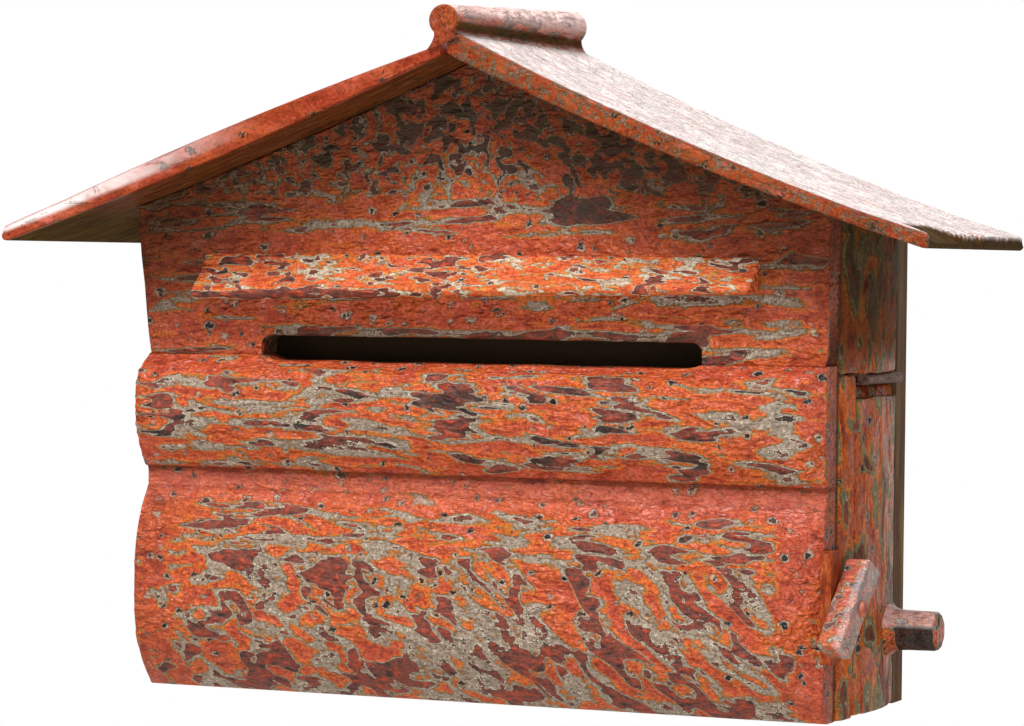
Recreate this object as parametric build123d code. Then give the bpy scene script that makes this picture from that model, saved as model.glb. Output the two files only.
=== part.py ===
from build123d import *
import math
import os

# House-shaped wooden wall letterbox with an open letter slot and a top-hinged side door.
# Millimetres. The wall is the plane Y = 0, the front looks towards -Y, +X is right, +Z is up.
# Heights are measured from the underside of the box; the finished pieces are lowered so that
# the origin is the centre of the four wall screws.

# Walls
course_half_width = 198.0       # ends of the two log courses of the front
side_setback = 0.5              # sides stand this much inside the ends of the courses
side_thickness = 18.0           # side slab at its edges
side_bulge = 8.5                # outward swell of a side slab at mid depth
side_depth = 96.0               # from the front boards to the back board
front_thickness = 18.0
back_thickness = 17.0
back_reveal = 0.5               # back board past the sides' edge lines
slab_edge_round = 4.0

# Front boards
bottom_course_height = 111.0
middle_course_height = 72.0
course_bulge = 15.0
bottom_crown_low = 48.0         # flat crown of the bottom log, above its underside
bottom_crown_high = 66.0
bottom_heel = 6.0               # how far the bottom log tucks in under itself
middle_crown_low = 46.0
middle_crown_high = 50.0
middle_groove = 10.0            # flat strip left under the middle log
middle_lip = 3.0                # how far the log's lower edge overhangs that strip
end_wear_run = 25.0             # right front corners of the logs, worn back in plan
end_wear_depth = 9.0
gable_inset_left = 1.5          # lower corners of the gable board, inside the ends of the courses
gable_inset_right = 0.5
gable_flare_left = 0.105        # outward lean of its side edges, per millimetre of height
gable_flare_right = 0.02

# Letter slot and the hood over it
slot_left = 127.0
slot_right = 129.0
slot_height = 13.5
slot_round = 6.0
hood_left = 164.0
hood_right = 160.0
hood_top = 240.0
hood_low_left = 213.5
hood_low_right = 220.0
hood_reach = 16.0
hood_nose = 5.0
hood_cove = 2.5
hood_under_rise = 2.0

# Roof
apex_height = 344.3             # underside of the roof at the ridge
eave_height = 244.3             # underside of the roof at the eaves
roof_left = 265.0
roof_right = 262.0
roof_sag_left = 3.5
roof_sag_right = 5.0
ridge_rise_left = 7.5           # top of each board above its underside, at the ridge
ridge_rise_right = 13.4
roof_middle_left = 13.0         # board thickness half way down its slope
roof_middle_right = 12.0
roof_eave_left = 7.0            # board thickness at the eave
roof_eave_right = 7.0
roof_front_overhang = 43.0
eave_round = 5.0
roof_arris = 3.5                # bevel worn along the boards' upper front edges
roll_front_radius = 8.3         # the ridge roll thickens and rises towards the wall
roll_rear_radius = 9.0
roll_front_rise = 3.6           # its centre above the top of the boards
roll_rear_rise = 10.2
roll_neck = 6.4
roll_foot = 9.5
roll_foot_depth = 12.0
roll_overhang = 2.0

# Floor
floor_thickness = 14.0
floor_rise = 5.0

# Side door, its scoop and its gaps
stile_width = 15.6
door_gap_front = 0.6
door_gap_back = 1.0
door_gap_floor = 0.5
door_bottom = 1.5
door_edge_round = 3.0
scoop_radius = 10.0
scoop_inset = 4.5

# Butt hinge
hinge_height = 176.5
hinge_proud = 3.0               # pin axis outside the slab's edge line
hinge_rear = 20.5               # rear end of the barrel, from the wall
hinge_length = 62.0
knuckle_count = 5
knuckle_radius = 3.0
knuckle_gap = 0.3
knuckle_relief = 0.45
pin_radius = 1.5
pin_clearance = 0.06
leaf_thickness = 1.5
leaf_width = 19.5
leaf_screw_inset = 5.0
leaf_screw_spread = 44.0
leaf_screw_length = 13.0
leaf_screw_radius = 1.4
leaf_screw_head = 2.8

# Whittled peg knob
knob_height = 43.0
knob_back = 46.0                # its axis, from the wall
knob_flats = 22.0
knob_reach = 27.0               # from the door's crown to the end of the peg
knob_sides = 8
knob_taper = 1.5
knob_bevel = 1.5
knob_screw_radius = 1.8
knob_screw_head = 3.6
knob_screw_bite = 17.0

# Turn button
button_length = 62.5
button_width = 18.3
button_thickness = 13.0
button_slant = 41.0             # rise of its long edges, degrees
button_end_angle = 65.0         # between its long edges and its sawn ends
button_height = 61.0
button_offset = 0.0             # pivot behind the gable face
button_round = 1.5
button_play = 0.3
spacer_thickness = 5.7          # packing strip that lifts the button clear of the swelling door
spacer_width = 16.0
spacer_height = 58.0
spacer_round = 2.0
pivot_radius = 2.0
pivot_clearance = 0.08
pivot_head_radius = 4.2
pivot_head_height = 2.4
pivot_head_round = 1.4
pivot_bite = 30.0

# Dowels and screws
dowel_radius = 3.0
dowel_front = 10.0              # depth of a dowel in the board it carries
dowel_back = 14.0
dowel_edge = 9.0                # from a slab's edge line to the dowels and screws in it
gable_dowel_low = 205.0
gable_dowel_high = 240.0
course_dowel_inset = 20.0       # from the joints between the front boards
bottom_dowel_height = 30.0
roof_dowel_radius = 2.5
roof_dowel_up = 8.0
roof_dowel_down = 16.0
roof_dowel_places = (70.0, 150.0)
floor_dowel_pitch = 120.0
back_screw_radius = 2.0
back_screw_head = 4.0
back_screw_length = 40.0
back_screw_heights_left = (50.0, 130.0, 210.0)
back_screw_heights_right = (206.0, 246.0)
floor_screw_pitch = 180.0
hood_screw_radius = 1.8
hood_screw_head = 3.4
hood_screw_bite = 5.0
hood_screw_pitch = 100.0

# Wall screws
wall_hole_radius = 3.0
wall_pitch_x = 280.0
wall_pitch_z = 140.0
wall_centre_height = 140.0

# How far cutting shapes and uncut stock run past the finished pieces
cut_margin = 20.0

# Planes and lines that the pieces share
side_edge = course_half_width - side_setback
back_half_width = side_edge + back_reveal
gable_foot_left = course_half_width - gable_inset_left
gable_foot_right = course_half_width - gable_inset_right
back_face = -back_thickness
front_back = back_face - side_depth
gable_face = front_back - front_thickness
roof_front = gable_face - roof_front_overhang
joint_height = bottom_course_height + middle_course_height
slot_top = joint_height + slot_height
side_inner = side_edge - side_thickness
hinge_x = side_edge + hinge_proud
panel_bottom = hinge_height + knuckle_radius
door_top = hinge_height - knuckle_radius
stile_back = front_back + stile_width
door_front = stile_back + door_gap_front
door_back = back_face - door_gap_back
floor_middle = floor_rise + floor_thickness / 2
top_of_all = apex_height + cut_margin
button_inner = course_half_width + spacer_thickness + button_play
button_y = gable_face + button_offset


def block(x0, x1, y0, y1, z0, z1):
    """Box between two corners."""
    corner = Pos((x0 + x1) / 2, (y0 + y1) / 2, (z0 + z1) / 2)
    return corner * Box(x1 - x0, y1 - y0, z1 - z0)


def along_x(face, x0, x1):
    """Face drawn in (Y, Z), carried from x0 to x1."""
    return extrude(Plane.YZ.offset(x0) * face, amount=x1 - x0, dir=(1, 0, 0))


def along_y(face, y0, y1):
    """Face drawn in (X, Z), carried from y0 to y1."""
    return extrude(Plane.XZ.offset(-y1) * face, amount=y1 - y0, dir=(0, -1, 0))


def rod_x(radius, x0, x1, y, z):
    """Round bar along X."""
    return Pos((x0 + x1) / 2, y, z) * Rot(0, 90, 0) * Cylinder(radius, x1 - x0)


def rod_y(radius, y0, y1, x, z):
    """Round bar along Y."""
    return Pos(x, (y0 + y1) / 2, z) * Rot(90, 0, 0) * Cylinder(radius, y1 - y0)


def wood_screw(radius, head, length):
    """Countersunk screw pointing down Z, its flat head at Z = 0."""
    cone = head - radius
    top = Pos(0, 0, -cone / 2) * Cone(radius, head, cone)
    return top + Pos(0, 0, -length / 2) * Cylinder(radius, length)


def group(solids):
    """Separate solids kept in one node."""
    return Compound(children=[part for part in solids])


# Roof lines: each slope is an arc that sags between the ridge and the eave
def sag_circle(half_width, sag):
    """Centre and radius of the underside arc of the right-hand slope."""
    run = half_width
    drop = apex_height - eave_height
    chord = math.hypot(run, drop)
    radius = (chord * chord / 4 + sag * sag) / (2 * sag)
    normal = (drop / chord, run / chord)
    reach = radius - sag
    return (run / 2 + normal[0] * reach, apex_height - drop / 2 + normal[1] * reach), radius


def arc_height(centre, radius, x):
    """Height of a sagging arc at x."""
    return centre[1] - math.sqrt(radius * radius - (x - centre[0]) ** 2)


def slope_arc(centre, radius, x0, x1):
    """Sagging arc between two places along X."""
    middle = (x0 + x1) / 2
    return ThreePointArc(*[(x, arc_height(centre, radius, x)) for x in (x0, middle, x1)])


def over_slope(centre, radius, x, thickness):
    """Point that stands off the underside arc at x, square to it."""
    z = arc_height(centre, radius, x)
    share = thickness / radius
    return x + (centre[0] - x) * share, z + (centre[1] - z) * share


def roof_half(half_width, sag, ridge_rise, middle, eave):
    """Right-hand roof board, thickest half way down, and the space under it."""
    centre, radius = sag_circle(half_width, sag)
    under = slope_arc(centre, radius, 0, half_width)
    top = ThreePointArc(
        (0, apex_height + ridge_rise),
        over_slope(centre, radius, half_width / 2, middle),
        over_slope(centre, radius, half_width, eave),
    )
    section = make_face([under, Line(under @ 1, top @ 1), top, Line(top @ 0, under @ 0)])
    section = fillet(section.vertices().sort_by(Axis.X)[-1], eave_round)
    board = along_y(section, roof_front, 0)
    front_arcs = board.edges().group_by(Axis.Y)[0].sort_by(SortBy.LENGTH)[-2:]
    board = chamfer(front_arcs.sort_by(Axis.Z)[-1], roof_arris)
    corners = Polyline(under @ 1, (half_width, 0), (0, 0), under @ 0)
    return board, along_y(make_face([under, corners]), roof_front, 0)


right_roof_board, under_right = roof_half(
    roof_right, roof_sag_right, ridge_rise_right, roof_middle_right, roof_eave_right
)
left_half, under_left = roof_half(
    roof_left, roof_sag_left, ridge_rise_left, roof_middle_left, roof_eave_left
)
left_roof_board = mirror(left_half, Plane.YZ)
under_roof = under_right + mirror(under_left, Plane.YZ)

# Ridge roll: a round bar on a saddle that straddles the boards' meeting line
apex_top = apex_height + ridge_rise_right
foot_level = apex_top - roll_foot_depth


def roll_round(y, radius, rise):
    """Round of the ridge roll at one end."""
    return Plane.XZ.offset(-y) * Pos(0, apex_top + rise) * Circle(radius)


def roll_saddle(y, rise):
    """Saddle under the ridge roll at one end."""
    centre = apex_top + rise
    corners = ((-roll_foot, foot_level), (roll_foot, foot_level), (roll_neck, centre), (-roll_neck, centre))
    return Plane.XZ.offset(-y) * Polygon(*corners, align=None)


roll_bar = loft(
    [
        roll_round(roof_front - roll_overhang, roll_front_radius, roll_front_rise),
        roll_round(0, roll_rear_radius, roll_rear_rise),
    ],
    ruled=True,
)
roll_base = loft([roll_saddle(roof_front, roll_front_rise), roll_saddle(0, roll_rear_rise)], ruled=True)
ridge_roll = roll_bar + roll_base - right_roof_board - left_roof_board


# Front: a gable board over two logs with rounded faces
crown = gable_face - course_bulge


def log_course(z0, z1, crown_low, crown_high, heel, groove=0, lip=0):
    """Log section swelling to a crown and falling back to the gable face above and below it."""
    low = (crown, z0 + crown_low)
    high = (crown, z0 + crown_high)
    lower = TangentArc(low, (gable_face + heel - lip, z0 + groove), tangent=(0, -1))
    upper = TangentArc(high, (gable_face, z1), tangent=(0, 1))
    rest = Polyline(upper @ 1, (front_back, z1), (front_back, z0), (gable_face + heel, z0))
    edges = [upper, rest, Line(low, high), lower]
    if groove > 0:
        edges.append(Polyline(rest @ 1, (gable_face + heel, z0 + groove), lower @ 1))
    return along_x(make_face(edges), -course_half_width, course_half_width) - worn_corner


wear_start = course_half_width - end_wear_run
past_end = course_half_width + cut_margin
worn_plan = Polygon(
    (wear_start, crown),
    (course_half_width, crown + end_wear_depth),
    (past_end, crown + end_wear_depth),
    (past_end, crown - cut_margin),
    (wear_start, crown - cut_margin),
    align=None,
)
worn_corner = extrude(worn_plan, amount=joint_height, dir=(0, 0, 1))
bottom_course = log_course(0, bottom_course_height, bottom_crown_low, bottom_crown_high, bottom_heel)
middle_course = log_course(
    bottom_course_height, joint_height, middle_crown_low, middle_crown_high, 0, middle_groove, middle_lip
)

gable_rise = top_of_all - joint_height
gable_outline = Polygon(
    (-gable_foot_left, joint_height),
    (gable_foot_right, joint_height),
    (gable_foot_right + gable_flare_right * gable_rise, top_of_all),
    (-gable_foot_left - gable_flare_left * gable_rise, top_of_all),
    align=None,
)
slot_width = slot_left + slot_right
slot_hole = Rectangle(slot_width, 2 * slot_height)
slot_hole = fillet(slot_hole.vertices(), slot_round)
slot_hole = Pos((slot_right - slot_left) / 2, joint_height) * slot_hole
gable_board = along_y(gable_outline - slot_hole, gable_face, front_back) & under_roof


def hood_section(x, low):
    """Hood section at one end: a cove, a rounded nose and a slanting underside."""
    nose_top = (gable_face - hood_reach, low + hood_nose)
    nose_low = (gable_face - hood_reach + hood_nose, low)
    root = (gable_face, hood_top)
    middle = ((root[0] + nose_top[0]) / 2 + hood_cove, (root[1] + nose_top[1]) / 2 - hood_cove)
    turn = hood_nose * (1 - math.sqrt(0.5))
    cove = ThreePointArc(root, middle, nose_top)
    nose = ThreePointArc(nose_top, (nose_top[0] + turn, low + turn), nose_low)
    under = Polyline(nose_low, (gable_face, low + hood_under_rise), root)
    return Plane.YZ.offset(x) * make_face([cove, nose, under])


slot_hood = loft([hood_section(-hood_left, hood_low_left), hood_section(hood_right, hood_low_right)])

# Sides: slabs that swell outwards; the right one is parted into panel, stile and door
def side_slab():
    """Right-hand slab over its whole height, its outer edges rounded in plan."""
    middle = (front_back + back_face) / 2
    rear = (side_edge, back_face)
    front = (side_edge, front_back)
    walls = Polyline(rear, (side_inner, back_face), (side_inner, front_back), front)
    swell = ThreePointArc(front, (side_edge + side_bulge, middle), rear)
    plan = make_face([walls, swell])
    plan = fillet(plan.vertices().group_by(Axis.X)[-1], slab_edge_round)
    return extrude(plan, amount=top_of_all, dir=(0, 0, 1))


right_slab = side_slab()
far_out = side_edge + side_bulge + cut_margin
left_side = mirror(right_slab, Plane.YZ) & under_roof
hinge_front = -hinge_rear - hinge_length


def about_hinge(radius):
    """Bar along the hinge axis, past both ends of the side."""
    return rod_y(radius, front_back, 0, hinge_x, hinge_height)


over_door = block(side_inner, far_out, front_back, back_face, panel_bottom, top_of_all)
right_upper_panel = right_slab & over_door
right_upper_panel = (right_upper_panel & under_roof) - about_hinge(knuckle_radius + knuckle_relief)
right_front_stile = right_slab & block(side_inner, far_out, front_back, stile_back, 0, panel_bottom)
door_inner = side_inner + door_gap_floor
side_door = right_slab & block(door_inner, far_out, door_front, door_back, door_bottom, door_top)
door_lip = side_door.edges().filter_by(Axis.Y, reverse=True).group_by(Axis.Z)[0]
side_door = fillet(door_lip.sort_by(Axis.X)[-1], door_edge_round)
scoop_start = hinge_x - scoop_inset
side_door -= about_hinge(scoop_radius) & block(scoop_start, far_out, front_back, 0, 0, hinge_height)

# Back board with its wall-screw holes, and the floor
back_outline = block(-back_half_width, back_half_width, back_face, 0, 0, top_of_all)
back_board = back_outline & under_roof
wall_holes = [
    rod_y(wall_hole_radius, back_face, 0, x * wall_pitch_x / 2, wall_centre_height + z * wall_pitch_z / 2)
    for x in (-1, 1)
    for z in (-1, 1)
]
for hole in wall_holes:
    back_board -= hole
floor_board = block(-side_inner, side_inner, front_back, back_face, floor_rise, floor_rise + floor_thickness)

# Butt hinge: each leaf lies on its board and curls round the pin at its own knuckles
knuckle_pitch = hinge_length / knuckle_count


def knuckle_span(index):
    """Ends of one knuckle along Y, with half the gap left at each side."""
    start = hinge_front + index * knuckle_pitch
    return start + knuckle_gap / 2, start + knuckle_pitch - knuckle_gap / 2


def hinge_leaf(z0, own, others, bore):
    """Flat leaf with its underside at z0, curled at its own knuckles and cut back at the others."""
    leaf = block(hinge_x - leaf_width, hinge_x, hinge_front, -hinge_rear, z0, z0 + leaf_thickness)
    for index in own:
        leaf += rod_y(knuckle_radius, *knuckle_span(index), hinge_x, hinge_height)
    cut_back = hinge_x - knuckle_radius - knuckle_relief
    for index in others:
        y0 = hinge_front + index * knuckle_pitch - knuckle_gap / 2
        leaf -= block(cut_back, far_out, y0, y0 + knuckle_pitch + knuckle_gap, z0, z0 + leaf_thickness)
    return leaf - rod_y(bore, hinge_front, -hinge_rear, hinge_x, hinge_height)


frame_knuckles = range(0, knuckle_count, 2)
door_knuckles = range(1, knuckle_count, 2)
hinge_frame_leaf = hinge_leaf(panel_bottom - leaf_thickness, frame_knuckles, door_knuckles, pin_radius)
hinge_door_leaf = hinge_leaf(door_top, door_knuckles, frame_knuckles, pin_radius + pin_clearance)
hinge_pin = rod_y(pin_radius, hinge_front, -hinge_rear, hinge_x, hinge_height)

hinge_middle = hinge_front + hinge_length / 2
leaf_screw = wood_screw(leaf_screw_radius, leaf_screw_head, leaf_screw_length)
leaf_screw_x = hinge_x - leaf_width + leaf_screw_inset
leaf_screw_ys = [hinge_middle + side * leaf_screw_spread / 2 for side in (-1, 0, 1)]
door_screws = [Pos(leaf_screw_x, y, door_top + leaf_thickness) * leaf_screw for y in leaf_screw_ys]
frame_screws = [
    Pos(leaf_screw_x, y, panel_bottom - leaf_thickness) * Rot(180, 0, 0) * leaf_screw for y in leaf_screw_ys
]
for screw in door_screws:
    hinge_door_leaf -= screw
    side_door -= screw
for screw in frame_screws:
    hinge_frame_leaf -= screw
    right_upper_panel -= screw

# Knob: an eight-sided peg whittled to a slight taper, drawn tight to the door by a screw
knob_end = side_edge + side_bulge + knob_reach
peg_section = Rot(0, 0, 180 / knob_sides) * RegularPolygon(knob_flats / 2, knob_sides, major_radius=False)
peg_section = Plane.YZ.offset(side_edge) * Pos(-knob_back, knob_height) * peg_section
peg = extrude(peg_section, amount=knob_end - side_edge, taper=knob_taper)
peg = chamfer(peg.faces().sort_by(Axis.X)[-1].edges(), knob_bevel)
door_knob = peg - side_door
knob_screw_length = side_edge + side_bulge + knob_screw_bite - door_inner
knob_screw = wood_screw(knob_screw_radius, knob_screw_head, knob_screw_length)
knob_screw = Pos(door_inner, -knob_back, knob_height) * Rot(0, -90, 0) * knob_screw
door_knob -= knob_screw
side_door -= knob_screw

# Turn button: a bar with slanting sawn ends, free on a screw in the bottom log's end grain
end_lean = button_width / math.tan(math.radians(button_end_angle)) / 2
half_length = button_length / 2
half_width = button_width / 2
bar = Polygon(
    (-half_length - end_lean, half_width),
    (half_length - end_lean, half_width),
    (half_length + end_lean, -half_width),
    (-half_length + end_lean, -half_width),
    align=None,
)
bar = fillet(bar.vertices(), button_round)
bar = Pos(button_y, button_height) * Rot(0, 0, button_slant) * bar
turn_button = along_x(bar, button_inner, button_inner + button_thickness)
turn_button = chamfer(turn_button.faces().sort_by(Axis.X)[-1].edges(), button_round)
button_outer = button_inner + button_thickness
turn_button -= rod_x(pivot_radius + pivot_clearance, button_inner, button_outer, button_y, button_height)
head_seat = button_outer + button_play
button_screw = rod_x(pivot_radius, course_half_width - pivot_bite, head_seat, button_y, button_height)
pivot_head = rod_x(pivot_head_radius, head_seat, head_seat + pivot_head_height, button_y, button_height)
button_screw += fillet(pivot_head.faces().sort_by(Axis.X)[-1].edges(), pivot_head_round)
strip = Pos(button_y, button_height) * RectangleRounded(spacer_width, spacer_height, spacer_round)
button_spacer = along_x(strip, course_half_width, course_half_width + spacer_thickness) - button_screw
bottom_course -= button_screw

# Hidden dowels between the front boards and the sides
dowel_x = side_edge - dowel_edge
front_heights = (
    gable_dowel_low,
    gable_dowel_high,
    joint_height - course_dowel_inset,
    bottom_course_height + course_dowel_inset,
    bottom_course_height - course_dowel_inset,
    bottom_dowel_height,
)
dowel_start = front_back - dowel_front
dowel_end = front_back + dowel_back
front_dowels = []
for z in front_heights:
    for side in (-1, 1):
        front_dowels.append(rod_y(dowel_radius, dowel_start, dowel_end, side * dowel_x, z))
for dowel in front_dowels:
    gable_board -= dowel
    middle_course -= dowel
    bottom_course -= dowel
    left_side -= dowel
    right_upper_panel -= dowel
    right_front_stile -= dowel


# Dowels that pin the roof boards to the gable and back boards, square to the slope
def roof_dowel(half_width, sag, x, y):
    """Right-hand roof dowel at x, along the slope's normal."""
    centre, radius = sag_circle(half_width, sag)
    foot = Vector(x, y, arc_height(centre, radius, x))
    up = (Vector(centre[0], y, centre[1]) - foot).normalized()
    seat = Plane(origin=foot - up * roof_dowel_down, z_dir=up)
    length = roof_dowel_up + roof_dowel_down
    return seat * Pos(0, 0, length / 2) * Cylinder(roof_dowel_radius, length)


roof_dowels = []
for y in (gable_face + front_thickness / 2, back_face / 2):
    for x in roof_dowel_places:
        roof_dowels.append(roof_dowel(roof_right, roof_sag_right, x, y))
        roof_dowels.append(mirror(roof_dowel(roof_left, roof_sag_left, x, y), Plane.YZ))
for dowel in roof_dowels:
    right_roof_board -= dowel
    left_roof_board -= dowel
    gable_board -= dowel
    back_board -= dowel

# Floor dowels: three from the bottom log, one from the left side
floor_dowels = [
    rod_y(dowel_radius, dowel_start, dowel_end, step * floor_dowel_pitch, floor_middle) for step in (-1, 0, 1)
]
middle_depth = (front_back + back_face) / 2
floor_dowels.append(
    rod_x(dowel_radius, -side_inner - dowel_front, -side_inner + dowel_back, middle_depth, floor_middle)
)
for dowel in floor_dowels:
    floor_board -= dowel
    bottom_course -= dowel
    left_side -= dowel

# Screws from the rear of the back board, and from inside the gable into the hood
back_screw = Rot(-90, 0, 0) * wood_screw(back_screw_radius, back_screw_head, back_screw_length)
back_places = [(-dowel_x, z) for z in back_screw_heights_left]
back_places += [(dowel_x, z) for z in back_screw_heights_right]
back_places += [(side * floor_screw_pitch / 2, floor_middle) for side in (-1, 1)]
back_screws = [Pos(x, 0, z) * back_screw for x, z in back_places]
for screw in back_screws:
    back_board -= screw
    left_side -= screw
    right_upper_panel -= screw
    floor_board -= screw

hood_screw_length = front_thickness + hood_screw_bite
hood_screw = Rot(-90, 0, 0) * wood_screw(hood_screw_radius, hood_screw_head, hood_screw_length)
hood_screw_height = hood_low_right + hood_nose
hood_screws = [
    Pos(step * hood_screw_pitch, front_back, hood_screw_height) * hood_screw for step in (-1, 0, 1)
]
for screw in hood_screws:
    gable_board -= screw
    slot_hood -= screw

nodes = {
    "gable_board": gable_board,
    "slot_hood": slot_hood,
    "middle_course": middle_course,
    "bottom_course": bottom_course,
    "left_side": left_side,
    "right_upper_panel": right_upper_panel,
    "right_front_stile": right_front_stile,
    "side_door": side_door,
    "back_board": back_board,
    "floor_board": floor_board,
    "left_roof_board": left_roof_board,
    "right_roof_board": right_roof_board,
    "ridge_roll": ridge_roll,
    "door_knob": door_knob,
    "knob_screw": knob_screw,
    "turn_button": turn_button,
    "button_spacer": button_spacer,
    "button_screw": button_screw,
    "hinge_frame_leaf": hinge_frame_leaf,
    "hinge_door_leaf": hinge_door_leaf,
    "hinge_pin": hinge_pin,
    "hinge_frame_screws": group(frame_screws),
    "hinge_door_screws": group(door_screws),
    "front_dowels": group(front_dowels),
    "roof_dowels": group(roof_dowels),
    "floor_dowels": group(floor_dowels),
    "back_screws": group(back_screws),
    "hood_screws": group(hood_screws),
}

os.makedirs("parts", exist_ok=True)
for name, shape in nodes.items():
    export_step(Pos(0, 0, -wall_centre_height) * shape, f"parts/{name}.step")
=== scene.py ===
import math

import bpy
import numpy as np
from mathutils import Matrix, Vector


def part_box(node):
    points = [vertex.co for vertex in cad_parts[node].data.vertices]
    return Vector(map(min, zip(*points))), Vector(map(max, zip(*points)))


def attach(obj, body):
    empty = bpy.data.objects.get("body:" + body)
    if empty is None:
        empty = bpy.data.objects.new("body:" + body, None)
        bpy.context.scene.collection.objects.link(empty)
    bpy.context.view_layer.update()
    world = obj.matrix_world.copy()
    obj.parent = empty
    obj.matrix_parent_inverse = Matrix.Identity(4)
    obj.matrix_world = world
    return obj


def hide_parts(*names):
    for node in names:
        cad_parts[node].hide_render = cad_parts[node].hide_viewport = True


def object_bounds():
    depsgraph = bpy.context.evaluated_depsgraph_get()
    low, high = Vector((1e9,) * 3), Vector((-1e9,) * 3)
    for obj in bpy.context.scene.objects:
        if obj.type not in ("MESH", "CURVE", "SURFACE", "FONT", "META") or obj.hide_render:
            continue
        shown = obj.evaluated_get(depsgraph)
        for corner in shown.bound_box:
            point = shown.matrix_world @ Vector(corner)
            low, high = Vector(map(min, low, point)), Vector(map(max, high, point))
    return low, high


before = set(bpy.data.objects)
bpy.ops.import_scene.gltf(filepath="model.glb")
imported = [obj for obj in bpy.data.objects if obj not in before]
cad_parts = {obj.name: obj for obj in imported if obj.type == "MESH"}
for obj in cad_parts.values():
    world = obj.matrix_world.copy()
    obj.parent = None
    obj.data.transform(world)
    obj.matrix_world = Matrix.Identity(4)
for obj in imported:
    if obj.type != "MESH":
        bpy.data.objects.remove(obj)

# House-shaped wooden letterbox in layered paint that was sanded through to the coats below.
# Sums are in millimetres in the frame's own axes; meshes are written in metres.
MM = 0.001
CAD_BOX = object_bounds()
BOX = np.array(CAD_BOX) / MM


def cad(node):
    """Lowest and highest corner of a CAD node, in millimetres."""
    return np.array(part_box(node)) / MM


# Planes and heights read from the frame
(gable_left, gable_face, joint_high), (gable_right, boards_back, apex) = cad("gable_board")
(course_left, crown, floor_line), (course_right, _, joint_low) = cad("bottom_course")
(hood_left, hood_front, hood_low), (hood_right, _, hood_top) = cad("slot_hood")
(_, roof_front, eave), (_, wall, _) = cad("right_roof_board")
(_, back_face, _), _ = cad("back_board")
(door_inner, door_front, door_low), (side_crown, door_back, door_top) = cad("side_door")
(_, _, panel_low), _ = cad("right_upper_panel")
(side_inner, _, _), (_, stile_back, _) = cad("right_front_stile")
(roll_left, roll_front, _), (roll_right, _, roll_top) = cad("ridge_roll")
(knob_root, knob_near, knob_low), (knob_end, knob_far, knob_high) = cad("door_knob")
(button_inner, _, _), (button_outer, _, _) = cad("turn_button")

# Sizes shared with the solids
side_edge = 197.5
side_bulge = side_crown - side_edge
slot_left, slot_right, slot_height, slot_round = -127.0, 129.0, 12.0, 6.0
gable_foot_left, gable_foot_right, gable_lean_left, gable_lean_right = -196.5, 197.5, 0.105, 0.02
roof_left, roof_right, sag_left, sag_right = 265.0, 262.0, 3.5, 5.0
LEFT_RISES, RIGHT_RISES = (5.5, 14.5, 8.0), (13.4, 10.0, 7.0)
hinge_x, hinge_z, scoop_radius, scoop_start = 200.5, 36.5, 10.0, 196.0
button_y, button_z = -131.0, -79.0
hood_climb = 6.5

# Spacing of mesh points on what the eye sees
FINE = 1.5


def ramp(value, start, stop):
    """Smooth step from 0 at start to 1 at stop."""
    share = np.clip((value - start) / (stop - start), 0, 1)
    return share * share * (3 - 2 * share)


def bump(value, start, stop, soft):
    """1 between start and stop, falling to 0 over soft on either side."""
    return ramp(value, start - soft, start) * (1 - ramp(value, stop, stop + soft))


def chance(place, seed, count):
    """Random shares from 0 to 1 for the corners of a lattice, always the same ones: count of them each."""
    key = (place * np.array([73856093, 19349663, 83492791])).sum(-1) + seed * 2654435761
    key = key.astype(np.uint64)
    key = (key ^ (key >> np.uint64(29))) * np.uint64(0xBF58476D1CE4E5B9)
    key = (key ^ (key >> np.uint64(32))) * np.uint64(0x94D049BB133111EB)
    parts = [key >> np.uint64(4 + 15 * step) & np.uint64(0x7FFF) for step in range(count)]
    return np.stack(parts, -1).astype(float) / 0x7FFF


def noise(points, seed):
    """Gradient noise: a random slope at each corner of a unit lattice, blended by a fifth-power fade."""
    cell = np.floor(points).astype(np.int64)
    part = points - cell
    fade = part**3 * (part * (part * 6 - 15) + 10)
    total = np.zeros(points.shape[:-1])
    for corner in np.ndindex(2, 2, 2):
        slope = 2 * chance(cell + np.array(corner), seed, 3) - 1
        weight = np.where(np.array(corner) == 1, fade, 1 - fade).prod(-1)
        total += weight * (slope * (part - np.array(corner))).sum(-1)
    return total


def turned(points, degrees):
    """Points turned in the XZ plane, so that a pattern can slant across a front board."""
    c, s = math.cos(math.radians(degrees)), math.sin(math.radians(degrees))
    x, y, z = np.moveaxis(points, -1, 0)
    return np.stack([c * x + s * z, y, c * z - s * x], -1)


def relief(points, sizes, seed, slant=0.0, broad=0.5):
    """Height of the brushed coats, in units of its own spread: four octaves of noise stretched to the given
    sizes along X, Y and Z, broad being the share of the widest, with its points first pushed about by a slower
    noise."""
    place = turned(points, slant) / np.array(sizes, float)
    push = np.stack([noise(place * 0.7, seed + step) for step in (11, 12, 13)], -1)
    place = place + 1.2 * push
    shares, spread = ((0.5, broad), (1.0, 1.0), (2.1, 0.4), (4.4, 0.12)), 0.28
    return sum(share * noise(place * scale, seed + round(3 * scale)) for scale, share in shares) / spread


# Skins over loops of points
def worn_outline(points, step, passes=3):
    """Closed outline re-spaced evenly, then averaged with its neighbours, which wears its corners round."""
    closed = np.vstack([points, points[:1]])
    run = np.concatenate([[0], np.cumsum(np.linalg.norm(np.diff(closed, axis=0), axis=1))])
    count = 2 * max(8, round(run[-1] / step / 2))
    at = np.linspace(0, run[-1], count, endpoint=False)
    even = np.stack([np.interp(at, run, closed[:, axis]) for axis in (0, 1)], -1)
    return softened(even, passes)


def softened(loops, passes):
    """Each point of a closed loop averaged with its two neighbours, a few times over."""
    axis = loops.ndim - 2
    for _ in range(passes):
        loops = (np.roll(loops, 1, axis) + 2 * loops + np.roll(loops, -1, axis)) / 4
    return loops


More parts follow.
